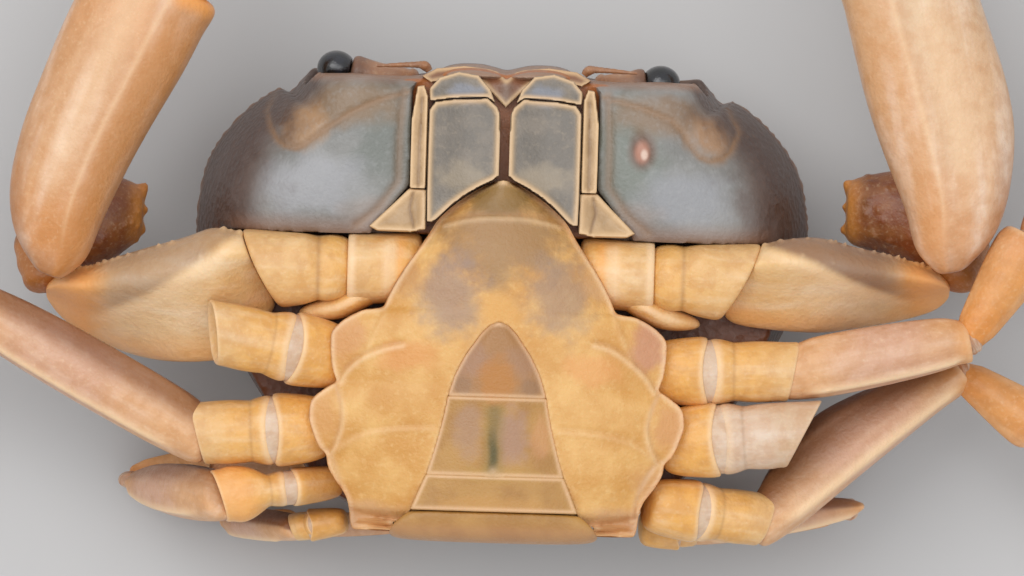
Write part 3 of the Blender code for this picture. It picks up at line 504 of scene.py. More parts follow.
def along_rows(x, rows, column=1):
    """One column of some rows at x, measured along their first column."""
    return np.interp(x, [row[0] for row in rows], [row[column] for row in rows])


def straight(rows):
    """Stations on the X axis from rows (x, width, height)."""
    return [(x, 0.0, 0.0, width, height) for x, width, height in rows]


def mirrored(half):
    """Close a half outline whose first and last points lie on the middle line."""
    return list(half) + [(-x, y) for x, y in reversed(half[1:-1])]


def outline_of(runs):
    """A closed outline from the runs of its right half, each smooth, that meet at corners."""
    half = []
    for run in runs:
        half += smooth_rows(run, 4)[:-1]
    return mirrored(half + [runs[-1][-1]])


def both_sides(*routes):
    """Each route of the right side, after its mirror image on the left."""
    return [[(side * x, y) for x, y in route] for route in routes for side in (-1, 1)]


def open_ring(name, points):
    """Add a filled ring through some points, left open and ready to be extruded."""
    alone()
    bpy.ops.mesh.primitive_circle_add(vertices=len(points), radius=1.0, fill_type="NGON")
    piece = bpy.context.object
    piece.name = piece.data.name = name
    for vertex, point in zip(piece.data.vertices, points):
        vertex.co = point
    open_up(piece)
    return piece


def extrude(move, scale=None, centre=None):
    """Extrude the open end of a piece by a step, then scale it about a point."""
    bpy.ops.mesh.extrude_region_move(TRANSFORM_OT_translate={"value": move})
    if scale:
        bpy.ops.transform.resize(value=scale, center_override=centre)


def draw_out(name, section, stations):
    """Draw a ring out along +X through stations (x, y, z, width, height), closed at both ends."""
    x, y, z, width, height = stations[0]
    piece = open_ring(name, [(x, y + across * width, z + rise * height) for across, rise in section])
    for before, after in zip(stations, stations[1:]):
        extrude([after[i] - before[i] for i in range(3)],
                (1.0, after[3] / before[3], after[4] / before[4]), after[:3])
    close_up(piece)
    return piece


def slab(name, outline, low, high, voxel=0.0):
    """Raise a flat outline into a plate, in small even faces where their size is given."""
    piece = open_ring(name, [(x, y, low) for x, y in outline])
    extrude((0.0, 0.0, high - low))
    close_up(piece)
    if voxel:
        even_faces(piece, voxel, 2)
    return piece


def combine(piece, tools, operation):
    """Join or cut a piece with others, which are used up."""
    for tool in tools:
        modify(piece, "BOOLEAN", operation=operation, object=tool, solver="EXACT")
        bpy.data.objects.remove(tool, do_unlink=True)
    return piece


def points_of(piece):
    """The piece's points and the directions that they face."""
    co = np.empty(len(piece.data.vertices) * 3)
    facing = np.empty(len(co))
    piece.data.vertices.foreach_get("co", co)
    piece.data.vertex_normals.foreach_get("vector", facing)
    return co.reshape(-1, 3), facing.reshape(-1, 3)


def set_points(piece, co):
    piece.data.vertices.foreach_set("co", co.ravel())
    piece.data.update()


def add_mark(piece, name, values):
    """Keep the larger of a stored number and a new one at each point."""
    attribute = piece.data.attributes.get(name) or piece.data.attributes.new(name, "FLOAT", "POINT")
    old = np.zeros(len(piece.data.vertices))
    attribute.data.foreach_get("value", old)
    attribute.data.foreach_set("value", np.maximum(old, np.clip(values, 0.0, 1.0)))


def away_from(co, route):
    """How far each point is from a route of (x, y) points, seen from above."""
    nearest = np.full(len(co), 1e9)
    flat = co[:, :2]
    for start, end in zip(route, route[1:]):
        start, end = np.array(start[:2], float), np.array(end[:2], float)
        span = end - start
        share = np.clip((flat - start) @ span / max(span @ span, 1e-9), 0.0, 1.0)
        nearest = np.minimum(nearest, np.linalg.norm(flat - (start + share[:, None] * span), axis=1))
    return nearest


def bell(value, centre, width):
    """One at a centre, falling away on both sides of it."""
    return np.exp(-((value - centre) / width) ** 2)


def smooth_step(low, high, value):
    """Smoothly from nought to one as a value goes from low to high."""
    share = np.clip((value - low) / (high - low), 0.0, 1.0)
    return share * share * (3.0 - 2.0 * share)


def bulge(piece, weight, height, mark=None, strength=1.0):
    """Raise each point by its share of a height, the way that it faces, and mark it so."""
    co, facing = points_of(piece)
    set_points(piece, co + facing * (height * weight)[:, None])
    if mark:
        add_mark(piece, mark, weight * strength)


def press(piece, route, width, depth, mark=None, strength=1.0, side=1.0):
    """Press a groove, or raise a ridge where the depth is negative, along a route seen from above."""
    co, facing = points_of(piece)
    seen = np.clip(facing[:, 2] * side * 2.0 - 0.2, 0.0, 1.0)
    bulge(piece, bell(away_from(co, route), 0.0, width) * seen, -depth, mark, strength)


def swell(piece, x, y, reach, height):
    """Raise or sink a soft round patch seen from above."""
    co, facing = points_of(piece)
    weight = np.exp(-((co[:, 0] - x) ** 2 + (co[:, 1] - y) ** 2) / reach ** 2)
    bulge(piece, weight * np.clip(facing[:, 2] * 2.0 - 0.2, 0.0, 1.0), height)


def swell_sides(piece, swells):
    """Swell a piece at places (x, y, reach, height) of its right side and their mirror images."""
    for side in (-1, 1):
        for x, y, reach, height in swells:
            swell(piece, side * x, y, reach, height)


def drape(piece, low, high, level):
    """Lift a plate's top to a level that varies from place to place, its underside kept."""
    co = points_of(piece)[0]
    share = np.clip((co[:, 2] - low) / (high - low), 0.0, 1.0)
    co[:, 2] += share * (level(co[:, 0], co[:, 1]) - high)
    set_points(piece, co)


def ridge_along(piece, angle, width, height, start, end, mark=None):
    """Raise a ridge that runs along a piece drawn on +X, at an angle round it, between two shares."""
    co = points_of(piece)[0]
    share = share_of(piece)
    middle = 0.5 * (co.min(axis=0) + co.max(axis=0))
    turned = np.arctan2(co[:, 2] - middle[2], co[:, 1] - middle[1])
    gap = np.abs((turned - angle + math.pi) % (2.0 * math.pi) - math.pi)
    reach = np.linalg.norm(co[:, 1:], axis=1)
    run = np.clip((share - start) / 0.08, 0.0, 1.0) * np.clip((end - share) / 0.08, 0.0, 1.0)
    bulge(piece, bell(gap * reach, 0.0, width) * run, height, mark)


def share_of(piece):
    share = np.zeros(len(piece.data.vertices))
    piece.data.attributes["share"].data.foreach_get("value", share)
    return share


def note_lay(piece, length=None):
    """Store each point's place on the piece's own axes, and its share of a length."""
    co = points_of(piece)[0]
    piece.data.attributes.new("lay", "FLOAT_VECTOR", "POINT").data.foreach_set("vector", co.ravel())
    if length:
        add_mark(piece, "share", co[:, 0] / length)


def apply_place(piece):
    alone(piece)
    bpy.ops.object.transform_apply(location=True, rotation=True, scale=True)


def place(piece, origin, along):
    """Set a piece drawn along +X at a point, running in a direction."""
    x = Vector(along).normalized()
    up = Vector((0.0, 1.0, 0.0)) if abs(x.z) > 0.97 else Vector((0.0, 0.0, 1.0))
    y = up.cross(x).normalized()
    piece.matrix_world = Matrix.Translation(origin) @ Matrix((x, y, x.cross(y))).transposed().to_4x4()
    apply_place(piece)


def finish(piece, look, slot, *nodes, crease=LIMB_CREASE):
    """Give a piece its finish, and set it at its real size and place on the crab."""
    alone(piece)
    for name in MARKS:
        add_mark(piece, name, 0.0)
    if not piece.data.attributes.get("lay"):
        note_lay(piece)
    piece.data.materials.clear()
    piece.data.materials.append(FINISHES[look])
    bpy.ops.object.shade_smooth_by_angle(angle=math.radians(crease))
    piece.scale = (MM, MM, MM)
    piece.location = SHIFT
    apply_place(piece)
    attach(piece, "root")
    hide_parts(*nodes)


# Main shell

CARAPACE_CENTRE = (0, 0.8)
FLAT_SHARE = 0.34
DOME_POWER = 2.2
FRONT_EDGE_Z = 7.5
SIDE_EDGE_Z = 7.0
REAR_EDGE_Z = 6.0
FACE_Z = 15.6
MOUTH_FLOOR_Z = 14.4
TROUGH_FLOOR_Z = 11.5
TROUGH_FRONT_Y = 4.0
ORBIT_X = 4.9
ORBIT_Z = 9.7
ORBIT_Y = 14.2
SHELL_VOXEL = 0.2
EDGE_GRAINS = 150.0              # all round the outline, closer and wider apart by turns
GRAIN_DRIFT = 23.0
# The right half in smooth runs that meet at the teeth and notches.
CARAPACE_RUNS = [
    [(0, 14.3), (0.7, 14.5), (1.6, 14.68), (2.8, 14.68), (3.7, 14.5), (4.4, 14.1)],
    [(4.4, 14.1), (5.6, 13.95), (7, 13.9), (9, 13.97), (10.7, 14.02), (12, 14.2)],
    [(12, 14.2), (12.7, 13.35), (13.4, 12.5)],
    [(13.4, 12.5), (13.75, 12.75), (14.1, 12.85)],
    [
        (14.1, 12.85), (15.4, 12), (16.6, 10.9), (17.7, 9.5), (18.4, 8.1), (18.8, 6.2), (18.95, 3.8),
        (18.5, 1), (17.4, -1.8), (15.7, -4.5), (13.7, -7.6), (11.9, -10.4), (10.3, -12), (8.2, -12.9),
        (4, -13), (0, -13)],
]


def edge_level(y):
    """Height of the shell's margin, highest at the front."""
    front = smooth_step(8.0, 13.0, y)
    rear = smooth_step(2.0, -12.0, y)
    return SIDE_EDGE_Z + (FRONT_EDGE_Z - SIDE_EDGE_Z) * front + (REAR_EDGE_Z - SIDE_EDGE_Z) * rear


def flank_reach(x, y):
    """How gently the flanks rise, as a share of the outline."""
    side = smooth_step(9.5, 16.5, np.abs(x)) * smooth_step(-6.0, 2.0, y)
    return 0.018 + 0.085 * side


SUBHEPATIC_SEAMS = [
    [
        (-5.9, 12.71), (-7.73, 12.17), (-9.42, 11.38), (-11.11, 10.23), (-12.3, 9.3), (-12.79, 9.07),
        (-13.5, 9.2), (-13.91, 9.53), (-14.36, 10.25), (-14.7, 11.35), (-14.24, 12.59)],
    [
        (5.88, 12.7), (8.23, 12.15), (10.2, 11.4), (10.9, 10.7), (11.37, 9.91), (12, 9.2), (12.62, 9.03),
        (13.4, 9.2), (13.83, 9.62), (14.41, 10.86), (13.62, 12.4)],
]
CHEEK_EDGES = both_sides([(6.2, 12.9), (6.4, 10), (6.4, 7.2), (7.6, 5.5), (8.9, 4.4)])
BACK_GROOVES = both_sides([(12.5, 7.6), (9, 4.6), (5.4, 1.4), (3.2, -0.6), (3, -3.4), (4.6, -5.6)])
BACK_GROOVES += [[(-3.2, -0.6), (0, -1.2), (3.2, -0.6)], [(0, 13.8), (0, 9.4), (0, 7.2)]]
BACK_CRESTS = both_sides([(1.2, 10.9), (3.4, 11.3), (4.6, 10.8)],
                         [(5.4, 10.4), (8.6, 10.3), (12.6, 10.7)])
SCAR = [(8.1, 10.3), (8.75, 8.6)]
CHEEK_SWELLS = [(10.4, 7.6, 3.6, 0.35), (14.6, 6.2, 2.6, 0.25), (12.2, 11, 1.6, 0.2)]
ORBIT_ROWS = [(0, 2.2, 1.8), (0.8, 4.2, 3), (3.6, 4.6, 3.6), (6.3, 4.4, 3.5), (7.4, 2.4, 1.9)]
MOUTH_HALF = [(0, 13.65), (4.2, 13.65), (5.45, 13.3), (5.74, 12.9), (5.74, 7), (8, 4.3), (8, 3.5),
              (0, 3.5)]
# The rings that the shell is drawn through: shares of its outline over the back, and insets up the sides.
BACK_SHARES = [FLAT_SHARE, 0.41, 0.48, 0.55, 0.61, 0.67, 0.73, 0.78, 0.83, 0.88, 0.92, 0.955, 0.98, 1]
FLANK_INSETS = [
    0.005, 0.011, 0.019, 0.03, 0.045, 0.062, 0.084, 0.11, 0.14, 0.18, 0.22, 0.28, 0.34, 0.44, 0.55]


def make_shell():
    """The domed back and rising sides, with the mouth, the orbits and the hollow under the breast."""
    centre = Vector((*CARAPACE_CENTRE, 0.0))
    body = open_ring("main_shell", [centre + (Vector((x, y, 0.0)) - centre) * FLAT_SHARE
                                    for x, y in outline_of(CARAPACE_RUNS)])
    sizes = BACK_SHARES + [1.0 - inset for inset in FLANK_INSETS]
    for before, after in zip(sizes, sizes[1:]):
        extrude((0.0, 0.0, 1.0), (after / before, after / before, 1.0), centre)
    bpy.ops.object.mode_set(mode="OBJECT")
    co = points_of(body)[0]
    ring = np.rint(co[:, 2]).astype(int)
    share = np.array(sizes)[ring]
    x = centre.x + (co[:, 0] - centre.x) / share
    y = centre.y + (co[:, 1] - centre.y) / share
    edge = edge_level(y)
    dome = edge * np.clip((share - FLAT_SHARE) / (1.0 - FLAT_SHARE), 0.0, 1.0) ** DOME_POWER
    rise = edge + (FACE_Z - edge) * (1.0 - np.exp(-(1.0 - share) / flank_reach(x, y)))
    co[:, 2] = np.where(ring < len(BACK_SHARES), dome, rise)
    set_points(body, co)
    close_up(body)
    cutters = []
    for side in (-1, 1):
        orbit = draw_out("orbit", oval(), straight(ORBIT_ROWS))
        place(orbit, (side * ORBIT_X, ORBIT_Y, ORBIT_Z), (side, 0.0, 0.0))
        cutters.append(orbit)
    trough = [(-FAR, TROUGH_FRONT_Y), (-FAR, -FAR), (FAR, -FAR), (FAR, TROUGH_FRONT_Y)]
    cutters.append(slab("mouth_hollow", mirrored(MOUTH_HALF), MOUTH_FLOOR_Z, FAR))
    cutters.append(slab("trough", trough, TROUGH_FLOOR_Z, FAR))
    combine(body, cutters, "DIFFERENCE")
    even_faces(body, SHELL_VOXEL, 8)
    swell_sides(body, CHEEK_SWELLS)
    for route in SUBHEPATIC_SEAMS:
        press(body, route, 0.2, 0.16, "seam")
        press(body, [(x, y + 0.25) for x, y in route], 0.22, -0.05)
    for route in CHEEK_EDGES:
        press(body, route, 0.28, 0.2, "seam", 0.7)
    for routes, width, depth in ((BACK_GROOVES, 0.5, 0.28), (BACK_CRESTS, 0.35, -0.16)):
        for route in routes:
            press(body, smooth_rows(route, 4), width, depth, side=-1.0)
    press(body, SCAR, 0.42, 0.22)
    grain_edge(body)
    finish(body, "shell", "shell", "carapace", crease=PLATE_CREASE)


def grain_edge(body):
    """Set small blunt grains along the shell's front side margins."""
    co = points_of(body)[0]
    outline = outline_of(CARAPACE_RUNS)
    turned = np.arctan2(co[:, 1] - CARAPACE_CENTRE[1], co[:, 0] - CARAPACE_CENTRE[0])
    level = np.abs(co[:, 2] - edge_level(co[:, 1]))
    near = bell(away_from(co, outline + outline[:1]), 0.0, 0.5)
    beads = 0.5 + 0.5 * np.cos(turned * EDGE_GRAINS + 3.0 * np.sin(turned * GRAIN_DRIFT))
    front = smooth_step(2.0, 5.0, co[:, 1]) * smooth_step(12.0, 13.4, np.abs(co[:, 0]))
    weight = near * bell(level, 0.0, 0.55) * beads * front
    bulge(body, weight, 0.08)
    add_mark(body, "rim", 0.5 * weight + 0.4 * near * bell(level, 0.0, 0.5))


make_shell()

# Breast plate

# The right half from the front tip back, in runs that meet at notches.
STERNUM_RUNS = [
    [
        (0, 7.42), (0.6, 7.3), (1.2, 7.02), (1.85, 6.64), (2.5, 6.2), (3.07, 5.74), (3.9, 4.93),
        (4.5, 3.95), (5.2, 2.9), (5.95, 1.76), (6.4, 1), (6.75, 0.3), (7.08, -0.5)],
    [
        (7.08, -0.5), (7.7, -0.62), (8.35, -0.72), (9.4, -1.28), (10.15, -2), (10.24, -2.6), (10.22, -3.4),
        (10.1, -4.3), (9.8, -5.12)],
    [(9.8, -5.12), (10.6, -5.64), (11.25, -6.2), (11.42, -6.8), (11.4, -7.6), (10.86, -9), (10.3, -9.6)],
    [(10.3, -9.6), (10.2, -10.3), (9.75, -11.1), (9.1, -12), (8.85, -12.8), (8.75, -13.6), (8.6, -14.1)],
    [(8.6, -14.1), (7.6, -14.14), (6.15, -14.14)],
    [(6.15, -14.14), (6, -13.85), (5.8, -13.5), (0, -13.5)],
]
STERNUM_TOP_Z = 18.1
STERNUM_SIDE_DROP = 1.5
RECESS_FLOOR_Z = 16.8
PLEON_THICKNESS = 1.25
PLEON_CROWN = 0.45
PLATE_VOXEL = 0.13
FINE_VOXEL = 0.1
BREAST_SWELLS = [(6.6, -6, 2.6, 0.16), (6.6, -10.6, 2.2, 0.1), (3.6, 1.4, 1.8, 0.08)]
FLAP_HALF = [
    (0, -1.28), (0.55, -1.42), (1.05, -1.9), (1.5, -2.55), (1.95, -3.2), (2.32, -3.9), (2.64, -4.6),
    (3, -5.79), (3.22, -7), (3.5, -8.2), (3.78, -9.3), (4.13, -10.55), (4.6, -11.7), (5.02, -12.7),
    (5.62, -13.8)]
# Each seam is (route, width, depth, strength of its colour).
BREAST_SEAMS = [
    ([(-3.58, 4.8), (-1.87, 5.22), (-0.16, 5.34), (1.81, 5.27), (3.66, 4.9)], 0.14, 0.08, 0.55),
    ([(-9.7, -5), (-9.32, -4.3), (-8.5, -3.55), (-7.16, -2.9), (-5.9, -2.6)], 0.15, 0.1, 0.7),
    ([(5.9, -2.25), (7.12, -2.6), (8.5, -3.6), (9.21, -4.3), (9.7, -5.1)], 0.15, 0.1, 0.7),
    ([(-9.9, -5.3), (-9.6, -6.2), (-9.5, -7.4), (-9.8, -8.6), (-10.2, -9.4)], 0.14, 0.09, 0.65),
    ([(9.9, -5.3), (9.5, -6.2), (9.3, -7.4), (9.6, -8.6), (10.2, -9.5)], 0.14, 0.09, 0.65),
    ([(-7.1, -0.6), (-7.5, -1.4), (-7.9, -2.4), (-8.4, -3.5)], 0.2, 0.05, 0.2),
    ([(7.1, -0.6), (7.5, -1.4), (7.9, -2.4), (8.4, -3.5)], 0.2, 0.05, 0.2),
    ([(-10.4, -9.4), (-8.4, -8.2), (-6, -7.7), (-3.9, -7.6)], 0.2, 0.05, 0.22),
    ([(10.1, -9.4), (8.4, -8.2), (6, -7.7), (3.9, -7.6)], 0.2, 0.05, 0.22),
    ([(9.9, -9.5), (9.15, -10.65), (8.7, -11.89), (8.6, -12.9)], 0.15, 0.09, 0.8),
    ([(-10.1, -9.5), (-9.6, -10.8), (-9.3, -12), (-9, -12.9)], 0.15, 0.07, 0.5),
]


def breast_level(x, y):
    """Height of the breast plate, lower towards the tip, the sides and the rear."""
    half = along_rows(y, sorted((py, px) for run in STERNUM_RUNS for px, py in run if px > 0.0))
    share = np.clip(np.abs(x) / np.maximum(half, 0.5), 0.0, 1.05)
    front = smooth_step(2.0, 8.0, y)
    rear = smooth_step(-9.0, -14.0, y)
    return STERNUM_TOP_Z - 1.0 * front - 0.4 * rear - STERNUM_SIDE_DROP * share ** 2.2


def rim_line(piece, outline, width, height, strength=1.0):
    """Raise a cream bead just inside a plate's edge."""
    co, facing = points_of(piece)
    far = away_from(co, outline + outline[:1])
    weight = bell(far, 0.55 * width, width) * np.clip(facing[:, 2] * 1.6, 0.0, 1.0)
    co[:, 2] += height * weight
    set_points(piece, co)
    add_mark(piece, "rim", weight * strength)


def make_breast():
    """The breast plate in one piece: its lobes, its sutures and the hollow for the tail flap."""
    outline = outline_of(STERNUM_RUNS)
    plate = slab("breast_plate", outline, TROUGH_FLOOR_Z + GAP, STERNUM_TOP_Z)
    step_y = TROUGH_FRONT_Y - GAP
    step = [(-FAR, step_y), (FAR, step_y), (FAR, FAR), (-FAR, FAR)]
    front = slab("front_step", step, 0.0, MOUTH_FLOOR_Z + GAP)
    flap = mirrored(FLAP_HALF + [(5.9, -15.0), (0.0, -15.0)])
    combine(plate, [front, slab("flap_hollow", flap, RECESS_FLOOR_Z + 0.1, FAR)], "DIFFERENCE")
    modify(plate, "REMESH", mode="VOXEL", voxel_size=PLATE_VOXEL)
    drape(plate, RECESS_FLOOR_Z, STERNUM_TOP_Z, breast_level)
    modify(plate, "SMOOTH", factor=0.5, iterations=3)
    rim_line(plate, outline, 0.17, 0.06, 0.7)
    rim_line(plate, flap, 0.1, 0.01, 0.25)
    for route, width, depth, strength in BREAST_SEAMS:
        smooth = smooth_rows(route, 4)
        press(plate, smooth, width, depth, "seam", strength * 0.5)
        press(plate, [(x * 0.985, y - 0.26) for x, y in smooth], 0.16, -0.05, "rim", strength * 0.75)
    swell_sides(plate, BREAST_SWELLS)
    finish(plate, "breast", "breast", "sternum", crease=PLATE_CREASE)


make_breast()

# Tail flap

# Each flap plate is (name, node, its right half).
FLAP_PLATES = [
    ("telson_plate", "telson", smooth_rows(FLAP_HALF[:8], 3) + [(0.0, -5.79)]),
    ("flap_plate_6", "somite_6", [(0.0, -5.83), (3.01, -5.83), (3.22, -7.0), (3.5, -8.2), (3.78, -9.3),
                                  (4.14, -10.6), (0.0, -10.6)]),
    ("flap_plate_5", "somite_5", [(0.0, -10.64), (4.16, -10.64), (4.6, -11.7), (5.02, -12.72),
                                  (0.0, -12.72)]),
]


def flap_level(high):
    """The height of a flap plate from place to place, lower towards its sides."""
    def level(x, y):
        half = np.interp(-y, [-row[1] for row in FLAP_HALF], [row[0] for row in FLAP_HALF])
        share = np.clip(np.abs(x) / np.maximum(half, 0.4), 0.0, 1.05)
        return high - PLEON_CROWN * share ** 2.5
    return level


def make_flap():
    """The last three plates of the flap, each crowned, with a cream bead round it."""
    low = RECESS_FLOOR_Z + GAP
    high = low + PLEON_THICKNESS
    for name, node, half in FLAP_PLATES:
        outline = mirrored(half)
        plate = slab(name, outline, low, high, FINE_VOXEL)
        drape(plate, low, high, flap_level(high))
        rim_line(plate, outline, 0.12, 0.05, 0.9)
        co, facing = points_of(plate)
        upright = smooth_step(0.8, 0.3, np.abs(facing[:, 2]))
        co[:, :2] += facing[:, :2] * (0.07 * upright)[:, None]
        set_points(plate, co)
        if node == "somite_6":
            press(plate, [(-0.5, -11.0), (-0.1, -10.35), (0.4, -11.0)], 0.3, -0.06, "rim", 0.6)
            press(plate, [(-0.15, -6.4), (-0.15, -9.8)], 0.5, -0.06)
        finish(plate, "flap", "breast", node, crease=PLATE_CREASE)


make_flap()

# (y, z) of the middle of the plates, from the flap round to the shell.
REAR_PATH = [
    (-12.78, 17.7), (-13.5, 17.62), (-13.95, 17.3), (-14.2, 16.7), (-14.27, 15.6), (-14.26, 13.6),
    (-14.2, 11), (-14.1, 9), (-13.95, 7)]
REAR_PLATES = 4
REAR_THICKNESS = 0.8
REAR_LIFTS = ((0, -0.1), (0.08, -0.07), (0.35, 0), (0.7, 0.03), (0.88, 0.08), (0.97, 0.07))    # (share, lift)
# Half the plates' width at a distance along them, as (run, half).
REAR_HALF = ((0, 5.15), (0.5, 5.75), (0.72, 6.1), (1.1, 6.42), (1.5, 6.5), (5, 6.45), (12, 6.1))
REAR_SECTION = [
    (-0.5, -0.3), (-0.485, 0.2), (-0.42, 0.42), (-0.22, 0.5), (0, 0.5), (0.22, 0.5), (0.42, 0.42),
    (0.485, 0.2), (0.5, -0.3), (0.42, -0.5), (0.2, -0.5), (0, -0.5), (-0.2, -0.5), (-0.42, -0.5)]


def make_rear():
    """The first plates of the flap, each overlapping the next, bent round the rear to the shell."""
    path = np.array(smooth_rows(REAR_PATH, 3))
    runs = np.concatenate([[0.0], np.cumsum([np.linalg.norm(b - a) for a, b in zip(path, path[1:])])])
    length = runs[-1]
    stations = []
    for k in range(REAR_PLATES):
        for share, lift in REAR_LIFTS:
            run = (k + share) * length / REAR_PLATES
            width = 2.0 * float(along_rows(run, REAR_HALF))
            stations.append((run, 0.0, lift, width, REAR_THICKNESS))
    stations.append((length, 0.0, 0.0, width - 0.4, REAR_THICKNESS * 0.7))
    plate = draw_out("rear_plates", REAR_SECTION, stations)
    subdivide(plate)
    co, facing = points_of(plate)
    y, z = [np.interp(co[:, 0], runs, path[:, i]) for i in (0, 1)]
    ahead_y, ahead_z = [np.interp(co[:, 0] + 0.2, runs, path[:, i]) - now for i, now in ((0, y), (1, z))]
    ahead_z = np.where(np.hypot(ahead_y, ahead_z) < 0.05, -0.2, ahead_z)
    size = np.hypot(ahead_y, ahead_z)
    phase = (co[:, 0] / length * REAR_PLATES) % 1.0
    lip = bell(phase, 0.92, 0.07) * (facing[:, 2] > 0.2)
    bent = [co[:, 1], y + ahead_z / size * co[:, 2], z - ahead_y / size * co[:, 2]]
    set_points(plate, np.stack(bent, axis=1))
    add_mark(plate, "rim", lip * 0.7)
    close_up(plate)
    finish(plate, "flap", "breast", "somites_1_to_4")


make_rear()

# Mouth

MAXILLIPED_FRONT_Z = 15.9
MAXILLIPED_REAR_Z = 17.1
JAW_FRONT_Y = 13.25
JAW_REAR_Y = 4.7
LIP_LOW_Z = 12.6
ISCHIUM_OUTLINE = [
    (0.3, 7.7), (0.29, 9.5), (0.31, 11.4), (0.5, 11.9), (1.1, 12.42), (3.2, 12.3), (4.3, 12.12),
    (4.66, 11.6), (4.68, 9), (4.67, 6.6), (4.6, 4.78), (4.3, 4.74), (3.95, 5.02), (3.12, 5.84), (2.55, 6.3),
    (1.9, 6.74), (1.25, 7.12), (0.65, 7.4)]
JAW_MERUS_OUTLINE = [
    (0.62, 12.1), (0.95, 12.95), (1.7, 13.8), (2.9, 14), (4.1, 13.6), (4.7, 12.9), (4.66, 12.2),
    (4.3, 12.2), (3.2, 12.38), (1.15, 12.5)]
EXOPOD_OUTLINE = [
    (4.72, 6.8), (4.72, 9), (4.74, 12.4), (5, 13.1), (5.42, 13.05), (5.72, 11), (5.72, 8.6), (5.7, 6.8)]
COXAL_OUTLINE = [
    (4.7, 6.78), (5.72, 6.8), (6.6, 5.9), (8.15, 4.4), (7.6, 4.12), (5.6, 4.1), (4.66, 4.3), (4.64, 5.4)]
EPISTOME_OUTLINE = [
    (-5.2, 13.7), (-4.3, 14.2), (-2.6, 14.4), (-1.1, 14.25), (-0.55, 14.1), (0, 13.6), (0.55, 14.1),
    (1.1, 14.25), (2.6, 14.4), (4.3, 14.2), (5.2, 13.7), (4.6, 13.3), (2.9, 13.7), (1.6, 13.5), (0.9, 12.8),
    (0, 11.9), (-0.9, 12.8), (-1.6, 13.5), (-2.9, 13.7), (-4.6, 13.3)]


def jaw_level(y):
    """Height of the outer jaws, which slope down to the front."""
    share = (y - JAW_REAR_Y) / (JAW_FRONT_Y - JAW_REAR_Y)
    return MAXILLIPED_REAR_Z + (MAXILLIPED_FRONT_Z - MAXILLIPED_REAR_Z) * share


def make_jaw_plate(name, node, outline, low, level, bead, lift, look="mouth", groove=None):
    """One plate of the outer jaws, framed by a raised cream bead."""
    plate = slab(name, outline, low, MAXILLIPED_FRONT_Z, FINE_VOXEL)
    drape(plate, low, MAXILLIPED_FRONT_Z, level)
    rim_line(plate, outline, bead, lift)
    if groove:
        press(plate, groove, 0.09, 0.08, "seam", 0.7)
    finish(plate, look, "mouthpart", node, crease=PLATE_CREASE)


def hollowed_level(x, y):
    """The long plate of the jaw, hollow along its middle."""
    return jaw_level(y) - 0.28 * (bell(np.abs(x), 2.4, 1.3) * smooth_step(5.6, 8.0, y))


def base_level(x, y):
    """The plate beside the jaw's foot, falling outwards."""
    return jaw_level(y) - 0.5 - 0.25 * np.clip(np.abs(x) - 5.0, 0.0, 2.0)


def lip_level(x, y):
    """The lip, with a low ridge on its middle."""
    return 15.0 - 1.1 * smooth_step(13.2, 14.3, y) + 0.25 * bell(x, 0.0, 0.5)


# Each jaw plate is (name, node, outline, level, bead's width, bead's height, finish, groove).
JAW_PLATES = [
    ("ischium", "maxilliped", ISCHIUM_OUTLINE, hollowed_level, 0.2, 0.12, "mouth", []),
    ("merus", "maxilliped", JAW_MERUS_OUTLINE,
     lambda x, y: jaw_level(y) - 0.12 * smooth_step(12.4, 13.4, y), 0.14, 0.08, "mouth", []),
    ("strip", "exopod", EXOPOD_OUTLINE, lambda x, y: jaw_level(y) - 0.1,
     0.15, 0.1, "strip", [(5.2, 6.9), (5.2, 9.0), (5.12, 12.3)]),
    ("base", "exopod", COXAL_OUTLINE, base_level, 0.26, 0.2, "strip", [(5.5, 6.5), (5.7, 5.6), (5.4, 4.4)]),
]


def make_mouth():
    """The door-like outer jaws, the strip and the plate beside each, and the lip in front of them."""
    for name, side in SIDES:
        for label, node, outline, level, bead, lift, look, groove in JAW_PLATES:
            outline, groove = [[(side * x, y) for x, y in route] for route in (outline, groove)]
            make_jaw_plate(f"jaw_{label}_{name}", f"{node}_{name}", outline, MOUTH_FLOOR_Z + 0.1, level,
                           bead, lift, look, groove)
    make_jaw_plate("front_lip", "maxilliped_left", EPISTOME_OUTLINE, LIP_LOW_Z, lip_level, 0.16, 0.1)


make_mouth()

# Eyes and feelers

EYE_RADII = (1.2, 1.1, 1.25)
EYE_PLACES = {"left": (10.5, 14.1), "right": (9.5, 13.75)}
STALK_ROOT_X = 5.4
STALK_ROOT_Y = 13.2
EYE_CUT = 0.9                    # how far behind its middle the cornea ends
# Stations of the stalk, (from its root, width, height), then (back from the eye's middle, width, height).
STALK_START = [(0, 1.1, 1.1), (0.25, 1.8, 1.8), (0.6, 2, 2), (0.75, 1.65, 1.65), (0.95, 1.85, 1.85)]
STALK_NECK = [(1.5, 2, 2), (1.25, 2.1, 2.15), (0.95, 2, 2), (0.8, 1.6, 1.6)]
# The feeler's thread as (x, y, z, width), ringed past its first stations.
WHIP_START = 14
FEELER_ROWS = [
    (4.75, 14.05, 12, 0.4), (4.9, 14.25, 12, 0.56), (5.05, 14.36, 12.05, 0.6), (5.2, 14.4, 12.05, 0.54),
    (5.4, 14.42, 12, 0.4), (6, 14.4, 11.9, 0.32), (6.8, 14.36, 11.85, 0.26), (8, 14.28, 11.8, 0.14)]


